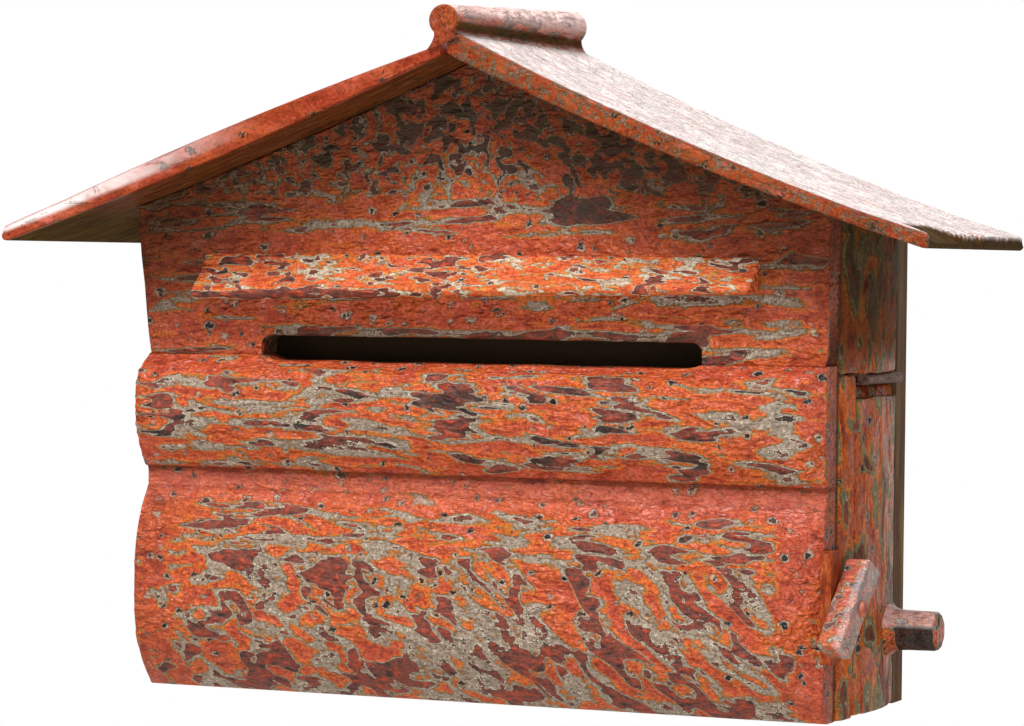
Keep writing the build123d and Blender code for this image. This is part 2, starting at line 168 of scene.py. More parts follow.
def stations(start, stop, step, rounding):
    """Places from start to stop, close together at both ends, and how far an outline is drawn in at each, so
    that the ends turn over in a quarter round."""
    turn = np.linspace(0, math.pi / 2, 5)
    lead, draw = rounding * (1 - np.cos(turn)), rounding * (1 - np.sin(turn))
    count = max(3, round((stop - start - 2 * rounding) / step))
    middle = np.linspace(start + rounding, stop - rounding, count + 1)[1:-1]
    places = np.concatenate([start + lead, middle, stop - lead[::-1]])
    return places, np.concatenate([draw, 0 * middle, draw[::-1]])


def drawn_in(outline, inset):
    """One copy of a flat closed outline per inset, each moved inwards square to itself by that much."""
    along = np.roll(outline, -1, 0) - np.roll(outline, 1, 0)
    side = np.stack([along[:, 1], -along[:, 0]], -1)
    side /= np.maximum(np.linalg.norm(side, axis=1, keepdims=True), 1e-9)
    after = np.roll(outline, -1, 0)
    area = (outline[:, 0] * after[:, 1] - outline[:, 1] * after[:, 0]).sum()
    return outline[None] - math.copysign(1, area) * side[None] * inset[:, None, None]


def faced_out(loops):
    """Loops in the order that makes their skin face outwards: the volume about their middle is positive."""
    points = loops - loops.mean((0, 1))
    around = np.roll(points, -1, 1) - points
    volume = (points[:-1] * np.cross(around[:-1], np.diff(points, axis=0))).sum()
    return loops if volume > 0 else loops[:, ::-1]


def outward(loops):
    """Direction square to the skin at each point: the way round crossed with the way along."""
    normal = np.cross(np.roll(loops, -1, 1) - np.roll(loops, 1, 1), np.gradient(loops, axis=0))
    return normal / np.maximum(np.linalg.norm(normal, axis=-1, keepdims=True), 1e-9)


def skin(loops, rows):
    """Points and faces over loops[station, point]: quads between stations, and at each end rows of points
    zipped across the loop from one half of it to the other."""
    count = loops.shape[1]
    half = count // 2
    ring = np.arange(loops.shape[0] * count).reshape(loops.shape[:2])
    after = np.roll(ring, -1, axis=1)
    points = [loops.reshape(-1, 3)]
    quads = [np.stack([ring[:-1], after[:-1], after[1:], ring[1:]], -1).reshape(-1, 4)]
    tips = []
    share = (np.arange(rows) + 1) / (rows + 1)
    made = ring.size
    for end, order in ((0, -1), (-1, 1)):
        near, far = loops[end, 1 : half - 1, None], loops[end, ::-1][1 : half - 1, None]
        inner = near + (far - near) * share[None, :, None]
        numbers = made + np.arange(inner.size // 3).reshape(inner.shape[:2])
        made += numbers.size
        grid = np.column_stack([ring[end, 1 : half - 1], numbers, ring[end, ::-1][1 : half - 1]])
        points.append(inner.reshape(-1, 3))
        cap = np.stack([grid[:-1, :-1], grid[1:, :-1], grid[1:, 1:], grid[:-1, 1:]], -1).reshape(-1, 4)
        quads.append(cap[:, ::order])
        tips.append(np.array([ring[end, -1], ring[end, 0], *grid[0]])[::order])
        tips.append(np.array([ring[end, half - 1], ring[end, half], *grid[-1][::-1]])[::order])
    return np.concatenate(points), np.concatenate(quads), tips


def piece(name, node, body, material, loops, coats, rows=6, swell=0.4, proud=0.6):
    """Object over the loops. Its skin is raised by up to proud, and sunk, by the relief of its coats times swell;
    it carries as attributes how far the paint is rubbed through, how charred its first coat is, how bleached it
    is by the sun together with painted sheen, and how grimy together with painted shade. Nothing reaches past
    the solids' own box."""
    loops = faced_out(loops)
    wear, *_, shows = coats(loops)
    deepest = -1.4
    rise = np.clip(wear, deepest, proud)
    loops = loops + outward(loops) * (shows * swell * rise)[..., None]
    points, quads, tips = skin(np.clip(loops, *BOX), rows)
    mesh = bpy.data.meshes.new(name)
    corners = np.concatenate([quads.ravel(), *tips]).astype(np.int32)
    sizes = np.concatenate([np.full(len(quads), 4), [len(tip) for tip in tips]])
    mesh.vertices.add(len(points))
    mesh.vertices.foreach_set("co", (points * MM).astype(np.float32).ravel())
    mesh.loops.add(len(corners))
    mesh.loops.foreach_set("vertex_index", corners)
    mesh.polygons.add(len(sizes))
    mesh.polygons.foreach_set("loop_start", (np.cumsum(sizes) - sizes).astype(np.int32))
    mesh.update(calc_edges=True)
    mesh.polygons.foreach_set("use_smooth", np.ones(len(sizes), bool))
    mesh.set_sharp_from_angle(angle=math.radians(50))
    for title, values in zip(("wear", "char", "bleach_and_sheen", "grime_and_shade"), coats(points)):
        mesh.attributes.new(title, "FLOAT", "POINT").data.foreach_set("value", values.astype(np.float32))
    mesh.materials.append(material)
    made = bpy.data.objects.new(name, mesh)
    bpy.context.scene.collection.objects.link(made)
    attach(made, body)
    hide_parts(node)
    return made


def across(outline_loops, places, axis):
    """Loops of flat outlines set at places along one axis; the outline's two numbers fill the other two."""
    at = np.broadcast_to(places[:, None, None], (*outline_loops.shape[:2], 1))
    parts = [outline_loops[..., :1], outline_loops[..., 1:]]
    parts.insert(axis, at)
    return np.concatenate(parts, -1)


# Roof lines
def roof_under(x):
    """Height of the roof's underside: on each slope an arc that sags between the ridge and the eave."""
    reach = np.where(x < 0, roof_left, roof_right)
    sag = np.where(x < 0, sag_left, sag_right)
    drop = apex - eave
    chord = np.hypot(reach, drop)
    radius = (chord**2 / 4 + sag**2) / (2 * sag)
    centre_x = reach / 2 + drop / chord * (radius - sag)
    centre_z = apex - drop / 2 + reach / chord * (radius - sag)
    return centre_z - np.sqrt(radius**2 - (np.abs(x) - centre_x) ** 2)


def wobble(x, seed):
    """Slow wander of a joint between two boards along the front, under a millimetre."""
    place = np.stack([x / 38.0, 0 * x + seed, 0 * x], -1)
    return 1.1 * noise(place, seed)


# Front boards
def log_face(z, low, high, foot, head, set_back):
    """Y of a log's face at height z: a flat crown between low and high, and arcs that leave it smoothly, to
    meet the boards at foot, set back a little, and at head."""
    def fall(run, depth, whole):
        radius = (whole**2 + depth**2) / (2 * depth)
        return radius - np.sqrt(np.maximum(radius**2 - run**2, 0))
    down = np.clip(low - z, 0, low - foot)
    up = np.clip(z - high, 0, head - high)
    return crown + fall(down, gable_face + set_back - crown, low - foot) + fall(up, gable_face - crown, head - high)


def log_course(bottom, head, low, high, foot, set_back):
    """Log swept from end to end of the front, its right front corner worn back. At a joint it runs on a little
    into its neighbour, so that the crease between them is filled with paint, and wanders with it."""
    joined = bottom > floor_line + 1
    lap = 1.5
    z = np.linspace(foot, head, 240)
    face = np.stack([log_face(z, low, high, foot, head, set_back), z], -1)
    heel = gable_face + max(set_back, 0)
    middle = (heel + boards_back) / 2
    base = bottom - lap if joined else bottom
    outline = np.vstack([[(middle, base), (heel, base), (heel, foot)], face,
                         [(gable_face, head + lap), (boards_back, head + lap), (boards_back, base)]])
    places, inset = stations(course_left, course_right, FINE, 1.2)
    loops = across(drawn_in(worn_outline(outline, 1.2, 2), inset), places, 0)
    x, y, z = np.moveaxis(loops, -1, 0)
    if joined:
        loops[..., 2] += wobble(x, 5) * (1 - ramp(z, bottom, bottom + 30))
    loops[..., 2] += wobble(x, 6 if joined else 5) * ramp(z, head - 30, head)
    hollow = 2.8 * bump(x, slot_left + 10, slot_right - 10, 12) * ramp(z, head - 9, head)
    loops[..., 2] -= hollow if joined else 0
    corner_run, corner_depth = 44.0, 12.5
    share = ((x - course_right + corner_run) / corner_run).clip(0)
    worn = crown + corner_depth * share**2.2
    loops[..., 1] = np.where(y < gable_face + 8, (y + worn + np.hypot(y - worn, 4 * share)) / 2, y)
    return loops


def gable_loops():
    """Gable board: at each place along X a loop up the face, over the top, down the back and under. Its lower
    edge steps up over the letter slot and along the leaning side edges; its rows run level from just above the
    slot."""
    left, left_in = stations(gable_left, slot_left, FINE, 1.5)
    right, right_in = stations(slot_right, gable_right, FINE, 1.5)
    nose = slot_round * (1 - np.cos(np.linspace(0, math.pi / 2, 7)))
    inside = np.linspace(slot_left + slot_round, slot_right - slot_round, 165)[1:-1]
    step = 0.25
    x = np.concatenate([left[:-4], [slot_left - step], slot_left + nose, inside, slot_right - nose[::-1],
                        [slot_right + step], right[4:]])
    inset = np.concatenate([left_in[:5], np.zeros(len(x) - 10), right_in[-5:]])
    into = np.clip(np.minimum(x - slot_left, slot_right - x), 0, slot_round)
    lift = slot_height - slot_round + np.sqrt(slot_round**2 - (slot_round - into) ** 2)
    low = joint_high + np.where((x >= slot_left) & (x <= slot_right), lift, 0)
    left_edge = (gable_foot_left - x) / gable_lean_left
    right_edge = (x - gable_foot_right) / gable_lean_right
    low = np.maximum(low, joint_high + np.maximum(left_edge, right_edge))
    high = np.maximum(roof_under(x), low + 0.5)
    level = np.maximum(joint_high + slot_height + 5, low + 0.1 * (high - low))
    first, then = np.linspace(0, 1, 15), np.linspace(0, 1, 96)[1:]
    edge = np.linspace(gable_face, boards_back, 12)
    count = len(first) + len(then)
    y = np.concatenate([np.full(count, gable_face), edge[1:-1], np.full(count, boards_back), edge[-2:0:-1]])
    below = low[:, None] + first[None] * (level - low)[:, None]
    above = level[:, None] + then[None] * (high - level)[:, None]
    up = np.concatenate([below, above], 1)
    over, under = np.repeat(up[:, -1:], 10, 1), np.repeat(up[:, :1], 10, 1)
    z = np.concatenate([up, over, up[:, ::-1], under], 1)
    y, z = np.roll(y, 5), np.roll(z, 5, 1)
    middle, depth = (gable_face + boards_back) / 2, (boards_back - gable_face) / 2
    y = middle + (y[None] - middle) * (1 - inset[:, None] / depth)
    loops = softened(np.stack([np.broadcast_to(x[:, None], z.shape), y, z], -1), 2)
    x, _, z = np.moveaxis(loops, -1, 0)
    loops[..., 2] += wobble(x, 6) * (1 - ramp(z, joint_high, joint_high + 20))
    return loops


def hood_loops():
    """Hood over the slot: a cove, a rounded nose and a slanting underside, blended from end to end as its
    lower edge climbs."""
    def section(low):
        nose, hollow = 5.0, 5.0
        turn = np.linspace(0, math.pi / 2, 9)
        way = np.linspace(0, 1, 30)
        cove_y = gable_face + (hood_front - gable_face) * way + hollow * way * (1 - way)
        cove_z = hood_top + (low + nose - hood_top) * way - hollow * way * (1 - way)
        nose_y = hood_front + nose * (1 - np.cos(turn))
        nose_z = low + nose * (1 - np.sin(turn))
        root = [(gable_face + 1, low + 2), (gable_face + 1, hood_top)]
        face = np.vstack([np.stack([cove_y, cove_z], -1), np.stack([nose_y, nose_z], -1), root])
        return worn_outline(np.roll(face, 1, 0), 1.2, 2)
    first, last = section(hood_low), section(hood_low + hood_climb)
    count = min(len(first), len(last))
    first, last = (resized(end, count) for end in (first, last))
    places, inset = stations(hood_left, hood_right, FINE, 2.5)
    share = ((places - hood_left) / (hood_right - hood_left))[:, None, None]
    straight = first[None] + (last - first)[None] * share
    root = np.array([gable_face + 1, (hood_low + hood_top) / 2])
    loops = across(root + (straight - root) * (1 - inset / 12)[:, None, None], places, 0)
    x, y, z = np.moveaxis(loops, -1, 0)
    loops[..., 2] += 0.8 * wobble(x, 9) * ramp(gable_face - y, 2, 12)
    loops[..., 0] += 1.5 * ramp(z, hood_low + 2, hood_top) * (1 - ramp(x, hood_left, hood_left + 30))
    return loops


def resized(outline, count):
    """Closed outline with a given number of evenly shared points."""
    at = np.arange(count) * len(outline) / count
    whole = np.arange(len(outline) + 1)
    closed = np.vstack([outline, outline[:1]])
    return np.stack([np.interp(at, whole, closed[:, axis]) for axis in (0, 1)], -1)


# Sides
def side_face(y):
    """X of a side slab's outer face: an arc from edge to edge of its depth, its two edges rounded off."""
    middle, half = (boards_back + back_face) / 2, (back_face - boards_back) / 2
    radius = (half**2 + side_bulge**2) / (2 * side_bulge)
    swell = np.sqrt(radius**2 - np.clip(y - middle, -half, half) ** 2) - (radius - side_bulge)
    arris = 4.0
    near = np.clip(arris - (half - np.abs(y - middle)), 0, arris)
    return side_edge + swell - (arris - np.sqrt(arris**2 - near**2))


def slab_loops(front, back, low, top, inner, sign, rounding=1.2):
    """Slab swept along Y: a loop up its swelling face, over its top at height top(x), down its flat inside
    and under. sign is the side of the box that it stands on."""
    places, inset = stations(front, back, FINE, rounding)
    outer = side_face(places) - inset
    rise = np.linspace(0, 1, max(12, round((top(side_edge) - low) / FINE)))
    across_top = np.linspace(1, 0, 14)[1:-1]
    share = np.concatenate([np.ones(len(rise)), across_top, np.zeros(len(rise)), across_top[::-1]])
    climb = np.concatenate([rise, np.ones(12), rise[::-1], np.zeros(12)])
    share, climb = np.roll(share, 6), np.roll(climb, 6)
    x = inner + inset[:, None] + share[None] * (outer - inner - inset)[:, None]
    foot, head = low + inset[:, None], top(sign * x) - inset[:, None]
    z = foot + climb[None] * (head - foot)
    y = np.broadcast_to(places[:, None], z.shape)
    return softened(np.stack([sign * x, y, z], -1), 2)


def flat_top(height):
    """Top line of a slab that is sawn square."""
    return lambda x: np.full(np.shape(x), height) if np.ndim(x) else height


def door_loops():
    """Side door swept along Y: up its swelling face, round the scoop that clears the hinge barrel, along the
    sawn top, down the inside and under, its lower lip rounded."""
    places, inset = stations(door_front, door_back, FINE, 1.0)
    outer = side_face(places) - inset
    bite = np.arccos((outer - hinge_x) / scoop_radius)
    last = math.acos((scoop_start - hinge_x) / scoop_radius)
    way = np.linspace(0, 1, 14)[None]
    angle = bite[:, None] + (last - bite)[:, None] * way
    scoop_x = hinge_x + scoop_radius * np.cos(angle)
    scoop_z = hinge_z - scoop_radius * np.sin(angle)
    face_z = door_low + (scoop_z[:, :1] - door_low) * np.linspace(0, 1, 110)[None, :-1]
    face_x = np.broadcast_to(outer[:, None], face_z.shape)
    top_x = np.linspace(scoop_start, door_inner, 10)[None] + 0 * places[:, None]
    down = np.linspace(0, 1, 100)[None] + 0 * places[:, None]
    inside_z = door_top + (door_low - door_top) * down[:, 1:]
    under_x = door_inner + (outer - door_inner)[:, None] * np.linspace(0, 1, 13)[None, 1:-1]
    x = np.concatenate([face_x, scoop_x, top_x, 0 * inside_z + door_inner, under_x], 1)
    z = np.concatenate([face_z, scoop_z, 0 * top_x + door_top, inside_z, 0 * under_x + door_low], 1)
    x, z = np.roll(x, 6, 1), np.roll(z, 6, 1)
    if x.shape[1] % 2:
        x, z = np.delete(x, 60, 1), np.delete(z, 60, 1)
    y = np.broadcast_to(places[:, None], z.shape)
    return softened(np.stack([x, y, z], -1), 2)


# Roof
def board_rise(share, ridge_rise, middle, eave_rise):
    """Thickness of a roof board down its slope: a parabola through its values at the ridge, middle and eave."""
    straight = ridge_rise * (1 - share) + eave_rise * share
    return straight + 4 * (middle - (ridge_rise + eave_rise) / 2) * share * (1 - share)


def roof_loops(sign, reach, rises, rear_lift, arris_ridge, arris_eave, chips):
    """Roof board: at each place down the slope a loop over its top from the wall to the front, round the worn
    front arris, down the front edge and back underneath. Its top lies over the sagging underside by a
    thickness that follows a parabola down the slope; chips bite its eave end back at the top."""
    run, inset = stations(0.0, reach, 1.8, 2.0)
    run, inset = run[4:], np.where(run < reach / 2, 0, inset)[4:]
    share = run / reach
    under = roof_under(sign * run)
    thick = board_rise(share, *rises)
    arris = arris_ridge + (arris_eave - arris_ridge) * share
    deep = np.linspace(0, 1, 96)
    turn = np.linspace(0, math.pi / 2, 8)[1:]
    depth = wall - roof_front
    y_top = wall - (depth - arris[:, None]) * deep[None]
    y_turn = roof_front + arris[:, None] * (1 - np.sin(turn))[None]
    fall = arris[:, None] * (1 - np.cos(turn))[None]
    lift = rear_lift * 4 * (share * (1 - share))[:, None]
    top = (under + thick)[:, None] + lift * ramp(y_top, roof_front, wall)
    turn_z = top[:, -1:] - fall
    low = under[:, None]
    face_z = turn_z[:, -1:] + (low - turn_z[:, -1:]) * np.linspace(0, 1, 8)[None, 1:]
    y_low = roof_front + depth * np.linspace(0, 1, 89)[None, 1:] + 0 * low
    y = np.concatenate([y_top, y_turn, 0 * face_z + roof_front, y_low], 1)
    z = np.concatenate([top, turn_z, face_z, 0 * y_low + low], 1)
    crest = y.shape[1] // 2
    from_end = (reach - run)[:, None]
    bite = chips(y)
    left_over = 1.5
    broken = low + left_over + (thick[:, None] - left_over) * np.clip(from_end / np.maximum(bite, 0.5), 0, 1)
    z = np.where(np.arange(y.shape[1])[None] < crest, np.minimum(z, np.maximum(broken, low + 0.6)), z)
    z = z + np.sign(low + thick[:, None] / 2 - z) * inset[:, None] * 0.8
    end_lean, overhang = 0.36, 0.8
    x = run[:, None] + (z - low) * end_lean * ramp(share, 0.85, 1.0)[:, None]
    x = np.minimum(x, reach + overhang)
    return softened(np.roll(np.stack([sign * x, y, z], -1), 3, 1), 1)


def small_chips(y):
    """A small ragged loss along the eave end."""
    return 1.0 + 2.0 * np.abs(noise(np.stack([y / 14.0, 0 * y, 0 * y], -1), 31))


def eave_chips(y):
    """Losses along the right eave's end: one wide bite near the front corner, a nick behind it, ragged between."""
    rag = 2.5 * np.abs(noise(np.stack([y / 9.0, 0 * y, 0 * y], -1), 32))
    return 2.0 + rag + 22.0 * bump(y, -152.0, -118.0, 16.0) + 10.0 * bump(y, -86.0, -80.0, 5.0)


def roll_loops():
    """Ridge roll swept along Y: a round bar on a neck that flares out to a foot on both slopes; it thickens
    and climbs towards the wall."""
    places, inset = stations(roll_front, wall, FINE, 1.5)
    share = ((places - roll_front) / (wall - roll_front))[:, None]
    front_radius, wall_radius, climb = 8.3, 9.0, 6.6
    radius = front_radius + (wall_radius - front_radius) * share - inset[:, None]
    centre = roll_top - wall_radius - climb * (1 - share)
    around = np.radians(np.linspace(-52, 232, 56))[None]
    bar_x, bar_z = radius * np.cos(around), centre + radius * np.sin(around)
    foot_left, foot_right = apex + 1.0, apex + 8.5
    down = np.linspace(0, 1, 9)[None, 1:]
    left_x = bar_x[:, -1:] + (roll_left - bar_x[:, -1:]) * down**2
    left_z = bar_z[:, -1:] + (foot_left - bar_z[:, -1:]) * down
    right_x = bar_x[:, :1] + (roll_right - bar_x[:, :1]) * down[:, ::-1] ** 2
    right_z = bar_z[:, :1] + (foot_right - bar_z[:, :1]) * down[:, ::-1]
    under = np.linspace(0, 1, 12)[None, 1:-1]
    under_x = left_x[:, -1:] + (right_x[:, :1] - left_x[:, -1:]) * under
    under_z = left_z[:, -1:] + (right_z[:, :1] - left_z[:, -1:]) * under
    x = np.concatenate([right_x, bar_x, left_x, under_x], 1)
    z = np.concatenate([right_z, bar_z, left_z, under_z], 1)
    x, z = np.roll(x, 5, 1), np.roll(z, 5, 1)
    y = np.broadcast_to(places[:, None], z.shape)
    return softened(np.stack([x, y, z], -1), 1)


# Knob and turn button
def knob_loops():
    """Peg whittled to eight flats: each loop is a polygon whose radius follows the flats, with blunt corners;
    it tapers to its end, where it is bevelled, and flares at its root where paint has gathered."""
    middle_y, middle_z = (knob_near + knob_far) / 2, (knob_low + knob_high) / 2
    flats = (knob_high - knob_low) / 2
    way = np.concatenate([np.linspace(0, 1, 40), [1.0]])
    x = knob_root + (knob_end - knob_root) * way
    angle = np.linspace(0, 2 * math.pi, 96, endpoint=False)
    sector = math.pi / 8
    to_flat = np.mod(angle + sector, 2 * sector) - sector
    shape = np.minimum(1 / np.cos(to_flat), 1.055)
    gathered, collar, fade, taper = 3.2, 3.0, 2.2, 0.06
    flare = gathered * np.exp(-(x - knob_root - collar).clip(0) / fade)
    bevel = 1.6 * ramp(way, 0.94, 1.0)
    radius = flats * (1 - taper * way) - bevel + flare
    loops_y = middle_y + radius[:, None] * (shape * np.cos(angle))[None]
    loops_z = middle_z + radius[:, None] * (shape * np.sin(angle))[None]
    chop = 0.5 * noise(np.stack([x[:, None] / 9.0 + 0 * loops_y, np.cos(angle)[None] * 2 + 0 * loops_y,
                                 np.sin(angle)[None] * 2 + 0 * loops_y], -1), 41)
    scale = 1 + (chop - 0.3) * 0.06
    loops_y, loops_z = middle_y + (loops_y - middle_y) * scale, middle_z + (loops_z - middle_z) * scale
    return np.stack([np.broadcast_to(x[:, None], loops_y.shape), loops_y, loops_z], -1)


def button_loops():
    """Turn button: a bar whose section is carried along its length and sheared, so that both sawn ends slant;
    the whole leans back over its pivot."""
    length, width, slant, lean = 62.5, 18.3, math.radians(41.0), 1 / math.tan(math.radians(65.0))
    thick = button_outer - button_inner
    half = width / 2
    outline = worn_outline(np.array([(0, 0), (0, half), (thick, half), (thick, -half), (0, -half)]), 0.9, 3)
    places, inset = stations(-length / 2, length / 2, 1.2, 1.2)
    flat = drawn_in(outline, inset)
    along = places[:, None] - lean * flat[..., 1]
    y = button_y + along * math.cos(slant) - flat[..., 1] * math.sin(slant)
    z = button_z + along * math.sin(slant) + flat[..., 1] * math.cos(slant)
    return np.stack([button_inner + flat[..., 0], y, z], -1)


# Coats per point: rubbed through, charred first coat, sun bleach and painted sheen, grime and painted shade, relief
# shown
def coat(points, wear, char=0.0, bleach_and_sheen=0.0, grime_and_shade=0.0, shows=1.0):
    """The five fields of a painted skin, each as an array over its points. Where they are rubbed through, the
    deeper coats come up faster in some places than in others, so that the rings are thin here and wide there."""
    haste = 0.55 + 2.1 * ramp(noise(points / 30.0, 71), -0.12, 0.22)
    return np.broadcast_arrays(np.where(wear > 0, wear * haste, wear), char, bleach_and_sheen, grime_and_shade, shows)


def front_shows(points):
    """1 on faces that look out of the front, 0 on the hidden backs of the front boards."""
    return 1 - ramp(points[..., 1], boards_back - 7, boards_back - 2)


def gable_coats(points):
    """Long level streaks below and small round cells under the roof, with one dark patch. Paint is whole over the
    hood and at both sides and worn at the slot's lip. Grime and painted shade darken it towards the roof, at the
    left end and inside the slot."""
    x, y, z = np.moveaxis(points, -1, 0)
    high = ramp(z, 118, 150)
    streaks = relief(points, (38, 12, 5.5), 3, 1.5)
    cells = relief(points, (6.5, 7, 5.5), 4, 0, 0.25) + 0.1
    cells = np.where(cells > 0, 2.4 * cells, 1.2 * cells)
    patch = 2.2 * np.exp(-(((x - 64) / 26) ** 2 + ((z - 121) / 9) ** 2) ** 2)
    over_hood = bump(z, hood_top - 1, hood_top + 7, 5) * bump(x, hood_left - 6, hood_right + 6, 14)
    rim = 1 - ramp(np.minimum(x - gable_left, gable_right - x), 6, 30)
    slot_lip = joint_high + slot_height
    lip = bump(z, slot_lip, slot_lip + 3.5, 3) * bump(x, slot_left, slot_right, 6)
    below = 1 - ramp(z, hood_low - 8, hood_low + 4)
    wear = streaks * (1 - high) + cells * high - 0.3 + patch - 1.6 * over_hood - 0.6 * rim - 0.5 * below + 1.5 * lip
    # Painted shade: darker towards the roof's underside, standing in for the overhang's shadow.
    shade = 1 - ramp(roof_under(x) - z, 2, np.where(x < 0, 80, 92))
    shows = front_shows(points)
    # Painted shade inside the slot's reveal.
    reveal = ramp(y, gable_face + 1, gable_face + 4) * (1 - ramp(z, slot_lip + 1, slot_lip + 3))
    wear, brown = weathered_end(points, wear)
    # Painted shade at the left end under the left roof. The sum below also darkens the slot's lip and the weathered
    # end.
    left = 1 - ramp(x, -190, -110)
    soot = (0.06 + 0.8 * shade) * (0.9 + 0.1 * ramp(x, -60, 20)) + 0.25 * left + 0.35 * lip
    soot = np.maximum(soot, np.maximum(reveal, brown))
    return coat(points, wear, 0.7 + 0.7 * high + 0.3 * patch, 0, np.maximum(1 - shows, soot), shows)


def hood_coats(points):
    """Short strokes along the cove, worn through along the nose, most at the left, and along the upper rim."""
    x, _, z = np.moveaxis(points, -1, 0)
    low = hood_low + hood_climb * (x - hood_left) / (hood_right - hood_left)
    edge = bump(z, low + 0.5, low + 3.5, 2.5)
    left = 1 - ramp(x, -80, -40)
    end = 1 - ramp(np.minimum(x - hood_left, hood_right - x), 2, 14)
    under = 1 - ramp(z, low - 1, low + 1.5)
    rim = bump(z, hood_top - 3.2, hood_top - 2.2, 1.4)
    strokes = 1.1 * relief(points, (10, 5, 2.6), 7, 1.0) - 0.4
    wear = strokes + edge * (0.3 + 1.8 * left) - 0.5 * end + 0.5 * rim
    # Painted shade: the underside of the nose is darkened.
    return coat(points, wear - 2.5 * under - ramp(z, hood_top - 2, hood_top), 0.5, 0, 0.4 * under)


def weathered_end(points, wear):
    """Wear and grime of a front board whose sawn right end has weathered to streaks of brown and yellow. Above the
    logs that end leans out a little."""
    x, _, z = np.moveaxis(points, -1, 0)
    edge = course_right - 0.5 + gable_lean_right * np.maximum(z - joint_high, 0)
    end = ramp(x, edge - 1.4, edge - 0.3)
    return wear + end * (0.5 * relief(points, (5, 4, 24), 61) - 0.8 - wear), 0.15 * end


def middle_coats(points):
    """Long level streaks that fade out at the upper lip, in the groove below and at both ends; a dark line of
    painted shade marks the log's foot, and painted sheen lightens the groove."""
    x, _, z = np.moveaxis(points, -1, 0)
    lip = ramp(z, joint_high - 9, joint_high - 4)
    groove = 1 - ramp(z, joint_low + 9, joint_low + 14)
    rim = 1 - ramp(np.minimum(x - course_left, course_right - x), 4, 24)
    wear = relief(points, (28, 10, 5.0), 13, -2, 0.4) - 0.1 - 1.3 * lip - 2.0 * groove - 0.9 * rim
    shows = front_shows(points)
    char = 1.4 * ramp(relief(points, (40, 20, 14), 15), -0.4, 0.8)
    wear, brown = weathered_end(points, wear)
    # Painted shade: a dark line under the log's foot.
    seam = bump(z, joint_low + 9, joint_low + 10.5, 1.5)
    # Painted sheen: the groove below the log is lightened towards pink and chalk.
    salmon = 0.2 * groove * (1 - seam) * (brown < 0.1)
    return coat(points, wear, char, salmon, np.maximum(1 - shows, 0.6 * seam + brown), shows)


def bottom_coats(points):
    """Patches that slant a little at the left and more at the right, and long streaks near the top; paint is whole
    at the lip and at both ends."""
    x, _, z = np.moveaxis(points, -1, 0)
    right = ramp(x, -40, 20)
    level = relief(points, (14, 11, 8.5), 19, -14, 0.35)
    gouged = relief(points, (20, 11, 8), 23, -40, 0.35)
    drawn = relief(points, (30, 11, 5.0), 25, -2, 0.4)
    upper = ramp(z, joint_low - 40, joint_low - 24)
    lip = ramp(z, joint_low - 11, joint_low - 4)
    foot = 1 - ramp(z, floor_line + 6, floor_line + 13)
    rim = np.maximum(1 - ramp(x - course_left, 6, 34), 1 - ramp(course_right - x, 6, 30))
    body = level * (1 - right) + gouged * right
    wear = body * (1 - upper) + (drawn - 0.3) * upper + 0.15 - 2.2 * lip + 0.4 * foot - 1.6 * rim
    shows = front_shows(points)
    wear, brown = weathered_end(points, wear)
    # Painted shade: darker in the crease just under the middle log.
    crease = ramp(z, joint_low - 3, joint_low - 0.5)
    left = 1 - ramp(x - course_left, 6, 40)
    grime_and_shade = np.maximum(1 - shows, 0.25 * crease + 0.15 * left + brown)
    # Painted sheen: the upper lip is lightened towards pink and chalk.
    salmon = 0.12 * lip * (brown < 0.1)
    return coat(points, wear, 0.5 - 0.4 * foot, salmon, grime_and_shade, shows * ramp(z, floor_line, floor_line + 3))


def side_coats(points):
    """Upright patches along the grain, fewer on the stile; grime and painted shade darken it above the door, under
    the roof; insides caked with grime.
    """
    x, y, z = np.moveaxis(points, -1, 0)
    inside = 1 - ramp(np.abs(x), side_inner + 2, side_inner + 8)
    high = ramp(z, 30, 60)
    stile = (1 - ramp(y, stile_back - 0.3, stile_back + 0.3)) * (1 - high)
    wear = 1.3 * relief(points, (9, 13, 28), 29) - 0.45 - 0.6 * stile
    # Painted shade: the panel above the door is darkened, mixed with olive grime.
    return coat(points, wear, 0.6 + 0.6 * high, 0, np.maximum(inside, 0.75 * high), 1 - inside)


def roof_coats(points):
    """Tops bleached by the sun and lightened by painted sheen, flecked front edges, undersides darkened by grime and
    painted shade, and raw wood wherever the right eave lies lower than the board is thick."""
    x, y, z = np.moveaxis(points, -1, 0)
    slope = 21.0
    wear = np.where(x < 0, relief(points, (22, 9, 3.2), 37, slope) - 2.2,
                    0.8 * relief(points, (5, 5, 2.0), 37, -slope, 0.25) - 0.4)
    over = z - roof_under(x)
    share = np.clip(np.abs(x) / roof_right, 0, 1)
    broken = ramp(board_rise(share, *RIGHT_RISES) - over, 0.5, 1.1) * ramp(x, 225, 232)
    broken = broken * ramp(y, roof_front + 3, roof_front + 5)
    front = 1 - ramp(y, roof_front + 0.5, roof_front + 3)
    # Painted sheen: the tops are lightened, together with sun bleaching.
    top = ramp(over, 2.5, 6.5) * ramp(y, roof_front + 2, roof_front + 8) * (1 - broken)
    pale_arris = front * ramp(over, 4, 7) * ramp(-x, 100, 240)
    # Painted shade: the undersides are darkened, together with grime, most towards the eaves.
    under = (1 - ramp(over, 0.4, 1.6)) * ramp(y, roof_front + 0.5, roof_front + 4)
    outer = ramp(np.abs(x), 190, 240)
    grime_and_shade = np.maximum(under * (0.65 + 0.35 * outer), front * np.where(x < 0, 0.15, 0.25))
    wear = wear - 1.2 * under + 2.5 * broken
    return coat(points, wear, 1.0, np.maximum(top, pale_arris), np.maximum(grime_and_shade, 0.75 * broken), 0.3 + 0.4 * top)


